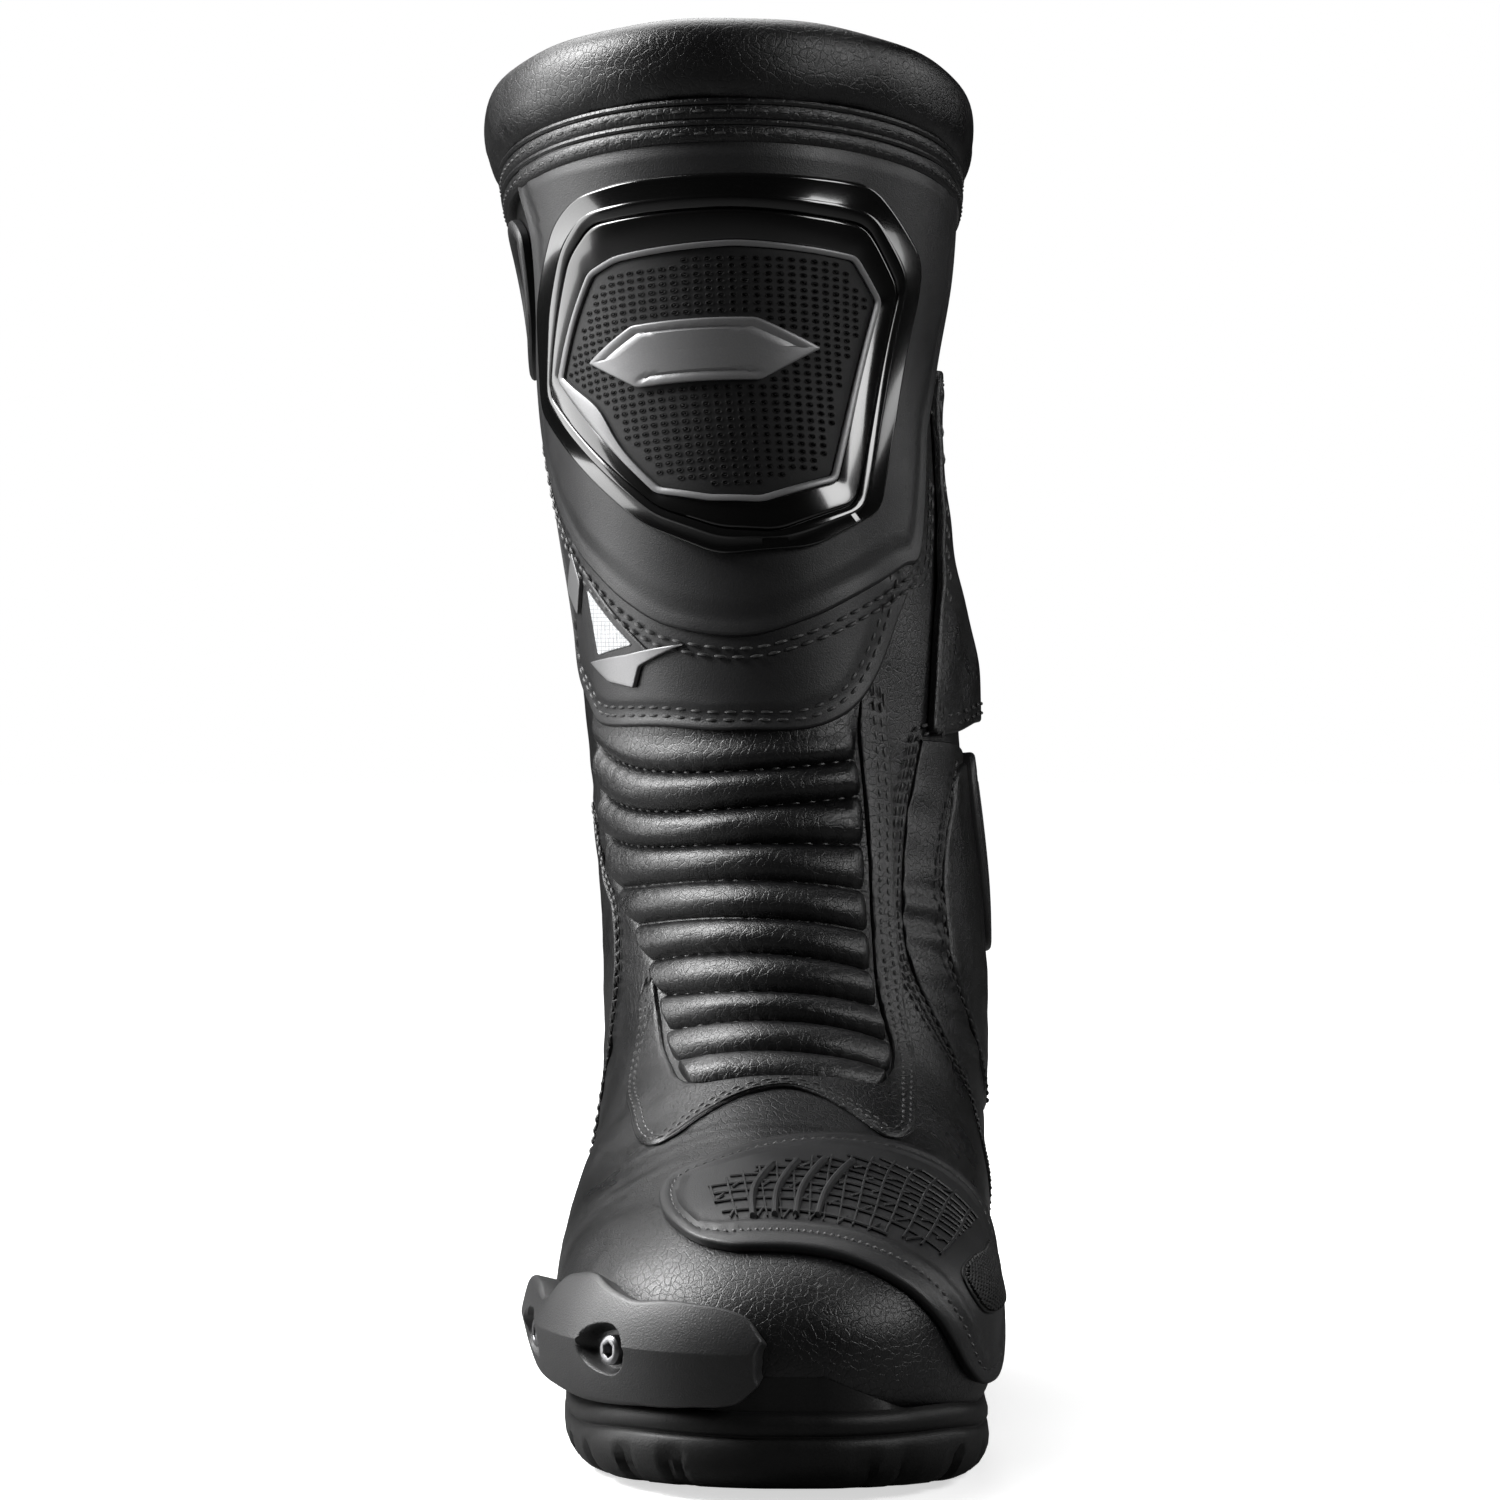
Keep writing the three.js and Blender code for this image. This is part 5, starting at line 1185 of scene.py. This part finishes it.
def screw(name, s, v, node):
    """A socket screw: a domed head with a six-sided well, on a plain shank."""
    origin, axes = seat_frame(s, v)
    count = 48
    turn = np.linspace(0, 2 * np.pi, count, endpoint=False)
    six = 1 / np.cos((turn + np.pi / 6) % (np.pi / 3) - np.pi / 6)
    rows = [(0.2, 5.3, 1), (1.55, 5.3, 1), (1.6, 7.0, 1), (1.8, 7.2, 1), (2.6, 7.3, 0),
            (3.1, 7.1, 0), (3.5, 6.6, 0), (3.55, 5.8, 0), (3.55, 4.3, 0), (2.0, 4.2, 0),
            (2.0, -4.6, 0)]
    wide = [r * (six if hexed else np.ones(count)) for r, _, hexed in rows]
    grid = np.array([[np.cos(turn) * w, np.sin(turn) * w, np.full(count, h)]
                     for w, (_, h, _) in zip(wide, rows)]).transpose(0, 2, 1)
    place = lambda p: origin + p @ axes
    return shield(name, place(grid), place(np.array([0, 0, 5.3])), place(np.array([0, 0, -4.6])),
                  STEEL, "steel", "foot", nodes=(node,))


screw("screw_front", *SEATS[0], "slider_screw_front")
screw("screw_rear", *SEATS[1], "slider_screw_rear")

# %% Shift pad
PAD = [(1.6, -0.235), (1.95, -0.2), (2.08, -0.12), (2.3, -0.02), (2.5, 0.065), (2.68, 0.145),
       (2.86, 0.22), (2.96, 0.3), (2.9, 0.38), (2.6, 0.44), (2.1, 0.48), (1.5, 0.5),
       (1.2, 0.555), (0.75, 0.56), (0.55, 0.53), (0.42, 0.47), (0.33, 0.4), (0.3, 0.31),
       (0.31, 0.22), (0.33, 0.08), (0.36, -0.08), (0.4, -0.17), (0.55, -0.23), (1.05, -0.25)]
pad_loop = cornered(PAD, 7.0, 320)
pad_groove = groove(pad_loop, (3.0, 3.4), (4.6, 5.0), 0.5)
plate("shift_pad_skin", pad_loop, 0.3, 2.1, 0.9, PLATE, "plate_matte", "foot", rings=46,
      relief=lambda p: 0.5 * step_up(-edge_distance(p, pad_loop), -7.4, -6.6) + pad_groove(p),
      nodes=("shift_pad",))
stitches("shift_pad_stitches", [np.vstack([inset(pad_loop, 4.0), inset(pad_loop, 4.0)[:1]])],
         2.2, THREAD, "leather", "foot", pitch=3.2, length=2.3, radius=0.36)
FIELD = np.array([(1.32, -0.155), (0.66, -0.15), (0.56, 0.0), (0.56, 0.18), (0.66, 0.33),
                  (1.5, 0.35), (2.4, 0.37), (2.5, 0.30), (2.3, 0.2), (1.95, 0.08),
                  (1.65, -0.04)]) * FLAT


def crossings(origin, way, loop):
    """The stretch of a straight flat line that lies inside a closed outline."""
    left = np.array([-way[1], way[0]])
    side = (loop - origin) @ left
    hop = np.nonzero(side * np.roll(side, -1) < 0)[0]
    if len(hop) < 2:
        return None
    share = side[hop] / (side[hop] - np.roll(side, -1)[hop])
    hits = loop[hop] + (np.roll(loop, -1, 0)[hop] - loop[hop]) * share[:, None]
    t = np.sort((hits - origin) @ way)
    return origin + way * t[0], origin + way * t[-1]


field_loop = along(FIELD, 200, True)
lines = []
for angle, gap, dash, space in ((94, 5.4, 400, 1), (4, 6.2, 400, 1), (48, 8.2, 5.0, 5.6)):
    way = np.array([np.cos(np.radians(angle)), np.sin(np.radians(angle))])
    across_way = np.array([-way[1], way[0]])
    for step in np.arange(-16, 17) * gap:
        found = crossings(field_loop.mean(0) + across_way * step, way, field_loop)
        if found is None:
            continue
        start, stop = found
        length = np.linalg.norm(stop - start)
        for cut in np.arange(0.6, length - 3.0, dash + space):
            end = min(cut + dash, length - 0.6)
            count = max(int((end - cut) / 2.5), 4)
            lines.append(start + way * np.linspace(cut, end, count)[:, None])
ridges("shift_pad_pattern", lines, 0.42, 2.5, PLATE, "plate_matte", "foot", squash=0.8)
bars = []
for k in range(4):
    foot_v = -0.055 + 0.052 * k
    bars.append(smooth([(0.62, foot_v - 0.03), (1.1, foot_v - 0.008), (1.62 + 0.1 * k, foot_v + 0.04)],
                       26))
ridges("shift_pad_bars", bars, 1.5, 2.25, PLATE, "plate_matte", "foot", sides=10)
SIDE_MESH = [(0.75, 0.37), (1.5, 0.38), (2.3, 0.4), (2.2, 0.44), (1.5, 0.455), (0.8, 0.445)]
side_mesh = smooth(SIDE_MESH, 140, True)
plate("shift_pad_side", side_mesh, 0.4, 2.75, 0.4, RUBBER, "rubber", "foot",
      nodes=("shift_pad_mesh",))
hatch = []
for step in np.arange(-14, 15) * 2.1:
    for slope in (1.0, -1.0):
        way = np.array([0.83, 0.55 * slope])
        way /= np.linalg.norm(way)
        found = crossings(side_mesh.mean(0) + np.array([step, 0]), way, inset(side_mesh, 0.8))
        if found is not None and np.linalg.norm(found[1] - found[0]) > 2:
            start, stop = found
            hatch.append(start + (stop - start) * np.linspace(0, 1, 6)[:, None])
ridges("shift_pad_side_hatch", hatch, 0.42, 3.0, RUBBER, "rubber", "foot", squash=0.9)

# %% [markdown]
# ## Sole
# One moulding of rubber. Its side starts as a rounded rim, runs into a groove and turns
# under. Slots through the lower edge shed water, and the heel stands clear of the arch.

# %% Outsole
WELT = np.array([[0.012, 0.6], [0.04, 0.6], [0.25, 0.6], [0.6, 0.6], [1.1, 0.605], [1.7, 0.61],
                 [2.3, 0.615], [2.7, 0.625], [3, 0.64], [3.3, 0.665], [3.6, 0.69], [3.9, 0.72],
                 [4.2, 0.745], [4.5, 0.775], [4.8, 0.82], [5.1, 0.88], [5.3, 0.94],
                 [5.38, 0.98], [5.41, 1.0]])
fine = np.linspace(0, 1, 900) ** 1.7 * (WELT[-1, 0] - WELT[0, 0]) + WELT[0, 0]
fine_v = np.interp(fine, WELT[:, 0], WELT[:, 1])
edge_points = skin(fine, fine_v, np.full(900, 2.6))
run = np.concatenate([[0], np.cumsum(np.linalg.norm(np.diff(edge_points, axis=0), axis=1))])
SOLE_ROWS = 190
at = np.linspace(0, run[-1], SOLE_ROWS)
s_sole = np.interp(at, run, fine)
v_sole = np.interp(at, run, fine_v)
ARCH_FRONT, ARCH_BACK = -0.34 * reach, -0.14 * reach
ground_y = np.array([-reach - 10, -0.8 * reach, -0.38 * reach, ARCH_FRONT, ARCH_BACK,
                     -0.115 * reach, 60])
ground_z = np.array([4, 0, 0, 3, 3, 0, 0.0])
# share of the way down, how far the side stands out (mm): rim, groove, wall, turned edge
SIDE = np.array([(-0.08, 0.2), (-0.05, 1.7), (0.0, 2.5), (0.08, 2.9), (0.16, 2.9), (0.22, 2.5),
                 (0.245, 1.9), (0.27, 1.8), (0.29, 2.3), (0.33, 2.9), (0.46, 3.2), (0.60, 3.0),
                 (0.72, 2.3), (0.84, 1.1), (0.94, -0.8), (1.0, -3.0)])
SLOTS = {-1: [31.0, 47.0, 68.0, 88.0, 150.0, 170.0], 1: [16.0, 30.0, 45.0, 66.0, 88.0, 150.0, 170.0]}
RIM_HIGH = 20.0
TIP_ROWS = 9
closing = np.linspace(1, 0, TIP_ROWS, endpoint=False)[:, None]
sides = []
for sign in (-1, 1):
    rim = skin(s_sole, sign * v_sole, np.full(SOLE_ROWS, 0.0))
    rim[:, 2] = np.where(s_sole < 2, -np.log(np.exp(-rim[:, 2]) + np.exp(-RIM_HIGH)), rim[:, 2])
    way = normal(s_sole, sign * v_sole)
    tip_middle = np.array([FORM[0, 7], rim[0, 1] - 0.3, rim[0, 2]])
    rim = np.vstack([rim[0] + (tip_middle - rim[0]) * closing, rim])
    way = np.vstack([way[0] + (np.array([0, -1.0, 0]) - way[0]) * closing, way])
    way[:, 2] = 0
    way /= np.linalg.norm(way, axis=1, keepdims=True)
    ground = np.interp(rim[:, 1], ground_y, ground_z)
    drop = rim[:, 2] - ground
    points = rim[:, None] + way[:, None] * SIDE[None, :, 1:2]
    points[..., 2] = rim[:, 2, None] - drop[:, None] * SIDE[None, :, 0]
    path_run = np.concatenate([at[0] + np.hypot(*(rim[:TIP_ROWS] - tip_middle)[:, :2].T),
                               at + np.hypot(*(rim[TIP_ROWS] - tip_middle)[:2])])
    cut = np.zeros(len(path_run))
    for mark in SLOTS[sign]:
        cut = np.maximum(cut, step_up(-np.abs(path_run - mark), -3.0, -2.3)
                         - 0.6 * step_up(-np.abs(path_run - mark), -2.0, -1.4))
    low = step_up(SIDE[:, 0], 0.44, 0.56)
    points -= way[:, None] * (1.9 * cut[:, None] * low[None])[..., None]
    sides.append(points)
left, right = sides
BOTTOM = 46
share = np.linspace(0, 1, BOTTOM + 2)[1:-1][None, :, None]
under = left[:, -1:] + (right[:, -1:] - left[:, -1:]) * share
from_edge = np.minimum(share, 1 - share)[0, :, 0] * 100
wave = 0.5 + 0.5 * np.cos(2 * np.pi * (under[..., 1] + 5 * np.cos(under[..., 0] / 9)) / 12)
bar = step_up(wave, 0.55, 0.75) * step_up(from_edge, 8, 12)[None]
tread = np.where((under[..., 1] > ARCH_FRONT) & (under[..., 1] < ARCH_BACK), 0.0, 1.0)
ends = np.concatenate([np.zeros(TIP_ROWS), step_up(at, 12, 22) * step_up(-at, -at[-1] + 8, -at[-1] + 16)])
under[..., 2] = np.interp(under[..., 1], ground_y, ground_z) + 2.4 * bar * tread * ends[:, None]
inner_v = np.linspace(-1, 1, 26)[1:-1]
v_ends = np.concatenate([np.full(TIP_ROWS, v_sole[0]), v_sole])
s_ends = np.concatenate([np.full(TIP_ROWS, s_sole[0]), s_sole])
v_mid = 1 - (1 - v_ends[:, None]) * np.abs(inner_v[None])
v_floor = np.where(inner_v[None] < 0, v_mid, -v_mid)
inside = skin(s_ends[:, None] + 0 * v_floor, v_floor, np.full(v_floor.shape, 0.25))
inside[:TIP_ROWS, :, 0] += (FORM[0, 7] - inside[:TIP_ROWS, :, 0]) * closing
section = np.concatenate([left, under, right[:, ::-1], inside], 1)
sweep("outsole_rubber", section, False, RUBBER, "rubber", "foot", nodes=("outsole",), sharp=40,
      weld=True)

# %% [markdown]
# ## Guards on ankle, heel and calf

# %% Guards
GUARD = [(9.1, 0.42), (8.5, 0.4), (7.8, 0.42), (7.45, 0.47), (7.5, 0.55), (7.9, 0.61),
         (8.6, 0.62), (9.1, 0.58), (9.25, 0.5)]
guard_loop = smooth(GUARD, 200, True)
plate("ankle_guard_shell", guard_loop, 0.3, 4.1, 1.4, PLATE, "plate_matte", "shaft", rings=34,
      crown=0.8, nodes=("ankle_guard",), relief=groove(guard_loop, (5.0, 5.8), (6.8, 7.6), 0.8))
v_cup = np.linspace(0.62, 1.38, 40)
fold = 1 - np.abs(v_cup - 1)
cup_low = 4.1 + 3.6 * fold * (1 - fold) + 1.42 * fold
cup_high = np.interp(fold, [0.6, 0.75, 1.0], [6.45, 6.78, 7.1])
strap("heel_cup_shell", np.stack([cup_low, v_cup], -1), np.stack([cup_high, v_cup], -1), 3.3,
      PLATE, "plate_matte", "foot", low=0.3, across=22, nodes=("heel_cup",))
CALF = [(13.1, 0.86), (13.2, 1), (13.1, 1.14), (11.5, 1.16), (10, 1.12), (9.5, 1), (10, 0.88),
        (11.5, 0.84)]
calf_loop = smooth(CALF, 220, True)
plate("calf_guard_shell", calf_loop, 0.3, 2.7, 1.0, PLATE, "plate_matte", "shaft", rings=30,
      nodes=("calf_guard",), relief=groove(calf_loop, (4.0, 4.6), (5.8, 6.4), 0.5))

# %% [markdown]
# ## Zip and flap
# A coil zip closes the inner side. A leather flap folds over it and is held by hook and
# loop tape. Its front is sewn to the shaft, so the leather bends just behind that seam.

# %% Zip
def in_zip(points):
    """Points in the zip's own frame, x across, y up along it and z outwards, in mm."""
    return zip_low + points @ np.stack([zip_side, zip_up, zip_out])


def rounded_box(low, high, edge):
    """Four rings of a box with rounded corners and softened ends, stacked along z."""
    low, high = np.array(low, float), np.array(high, float)
    corner = np.array([(-1, -1), (1, -1), (1, 1), (-1, 1)])
    turn = np.radians(np.array([(180, 210, 240, 270), (270, 300, 330, 360), (0, 30, 60, 90),
                                (90, 120, 150, 180)]))
    middle, half = (low + high)[:2] / 2, (high - low)[:2] / 2
    rings = []
    for z, less in ((low[2], edge), (low[2] + edge, 0), (high[2] - edge, 0), (high[2], edge)):
        spot = middle + corner * (half - edge)
        arc = np.stack([np.cos(turn), np.sin(turn)], -1) * (edge - less)
        flat = (spot[:, None] + arc).reshape(-1, 2)
        rings.append(np.column_stack([flat, np.full(len(flat), z)]))
    return np.array(rings)


def boxes(name, extents, edge, *rest, **more):
    """Many rounded boxes in the zip's frame, merged into one piece."""
    points = np.array([rounded_box(low, high, edge) for low, high in extents])
    one = quads(4, 16, False, True).tolist() + [list(range(48, 64)), list(range(16))[::-1]]
    return piece(name, in_zip(points.reshape(-1, 3)), repeated(one, 64, len(extents)), *rest,
                 **more)


TEETH_FROM, TEETH_TO = 4.0, zip_length - 1.0
for name, sign in (("front", -1), ("rear", 1)):
    tape = sorted((sign * 3.1, sign * 7.7))
    boxes(f"zip_tape_{name}_web", [((tape[0], 0, -0.4), (tape[1], zip_length, 0.4))], 0.25,
          WEB, "webbing", "shaft", nodes=(f"zip_tape_{name}",))
    tooth = sorted((sign * 0.6, sign * 2.8))
    marks = np.arange(TEETH_FROM, TEETH_TO - 1.2, 1.9) + (0.0 if sign < 0 else 0.95)
    boxes(f"zip_teeth_{name}_row", [((tooth[0], m, -0.8), (tooth[1], m + 1.25, 0.8))
                                    for m in marks], 0.2, RUBBER, "rubber", "shaft",
          nodes=(f"zip_teeth_{name}",))
slider_low = zip_length - 12.0
boxes("zip_slider_body", [((-4.4, slider_low, 1.1), (4.4, slider_low + 11, 2.0)),
                          ((-0.3, slider_low + 6, -1.3), (0.3, slider_low + 10, 1.3)),
                          ((-2.6, slider_low + 6, -1.4), (2.6, slider_low + 10, -1.05))],
      0.12, STEEL, "steel", "slider", nodes=("zip_slider",))
pull_top = slider_low + 9.0
pull_tip = pull_top - 20
boxes("zip_pull_tab", [((-3.0, pull_tip, 2.3), (-1.6, pull_top, 3.4)),
                       ((1.6, pull_tip, 2.3), (3.0, pull_top, 3.4)),
                       ((-1.7, pull_tip, 2.3), (1.7, pull_tip + 3, 3.4)),
                       ((-1.7, pull_tip + 9, 2.3), (1.7, pull_top, 3.4))],
      0.25, STEEL, "steel", "pull", nodes=("zip_pull",))

# %% Flap
FLAP = [(12.2, 0.42), (11.35, 0.4), (10.6, 0.335), (9.95, 0.286), (9.3, 0.25), (9.12, 0.25),
        (9.23, 0.33), (9.45, 0.45), (9.62, 0.6), (9.75, 0.74), (10.1, 0.8), (11.2, 0.805),
        (11.9, 0.78), (12.2, 0.66), (12.3, 0.52)]
flap_loop = smooth(FLAP, 260, True)


def flap_rise(p):
    """How far the flap stands off: over the zip, and in a fold at its lower front."""
    s, v = p[..., 0] / FLAT[0], p[..., 1] / FLAT[1]
    over_zip = 0.6 + 2.7 * step_up(v, 0.5, 0.66)
    bulge = 0.6 + 4.4 * np.exp(-((s - 9.85) / 0.8) ** 2 - ((v - 0.5) / 0.12) ** 2)
    return np.maximum(over_zip, bulge) + 0.3 * ripple(p[..., 0], p[..., 1], 22, 61)


plate("zip_flap_leather", flap_loop, 0.0, 2.1, 0.9, LEATHER, "leather", "fold", rings=40,
      relief=flap_rise, hollow=True, nodes=("zip_flap",), sharp=50)
flap_front = smooth([FLAP[-1]] + FLAP[:10], 260)
strip_s = (9.95, 10.6, 11.2, 11.85)
for node, low, high, body in (("loop_strip", 0.3, 1.4, "shaft"), ("hook_strip", 1.7, 3.2, "flap")):
    strap(node + "_face", [(s, 0.755) for s in strip_s], [(s, 0.795) for s in strip_s], high,
          WEB, "webbing", body, low=low, samples=40, nodes=(node,))


def lifted_stitches(name, paths, rise_of, base, *rest, **more):
    """Stitches on a face whose height changes along the path: laid in short runs."""
    runs = [path[k:k + 9] for path in paths for k in range(0, len(path) - 8, 8)]
    heights = [base + float(rise_of(run.mean(0)[None])[0]) for run in runs]
    return stitches(name, runs, heights, *rest, **more)


lifted_stitches("flap_stitches", [beside(flap_front, -2.2), beside(flap_front, -4.4)],
                flap_rise, 2.1, THREAD, "leather", "fold")

# %% [markdown]
# ## Pull loop
# A loop of webbing at the back, sewn under the collar, to draw the boot on.

# %% Pull loop
origin, axes = seat_frame(12.9, 1.0)
LOOP_LONG, LOOP_DEEP, LOOP_WEB = 40.0, 12.0, 1.5
turn = np.linspace(-np.pi / 2, np.pi / 2, 16)
bend_r = LOOP_DEEP / 2 - LOOP_WEB / 2
end_y = LOOP_LONG / 2 - LOOP_DEEP / 2
upper_end = np.stack([end_y + bend_r * np.cos(turn), LOOP_DEEP / 2 + bend_r * np.sin(turn)], -1)
lower_end = np.stack([-end_y - bend_r * np.cos(turn), LOOP_DEEP / 2 - bend_r * np.sin(turn)], -1)
straight = np.linspace(0, 1, 12)[1:-1, None]
path = np.vstack([upper_end, upper_end[-1] + (lower_end[0] - upper_end[-1]) * straight,
                  lower_end, lower_end[-1] + (upper_end[0] - lower_end[-1]) * straight])
step = np.roll(path, -1, 0) - np.roll(path, 1, 0)
step /= np.linalg.norm(step, axis=1, keepdims=True)
away = np.stack([-step[:, 1], step[:, 0]], -1)
cross = np.array([(-10, -0.45), (-9.7, -0.7), (0, -0.75), (9.7, -0.7), (10, -0.45), (10, 0.45),
                  (9.7, 0.7), (0, 0.75), (-9.7, 0.7), (-10, 0.45)])
web = np.zeros((len(path), len(cross), 3))
web[..., 0] = cross[None, :, 0]
web[..., 1:] = path[:, None] + away[:, None] * cross[None, :, 1:2]
web[..., 2] = np.maximum(web[..., 2], 0.3)
sweep("pull_loop_web", origin + web @ axes, True, WEB, "webbing", "shaft", nodes=("pull_loop",))
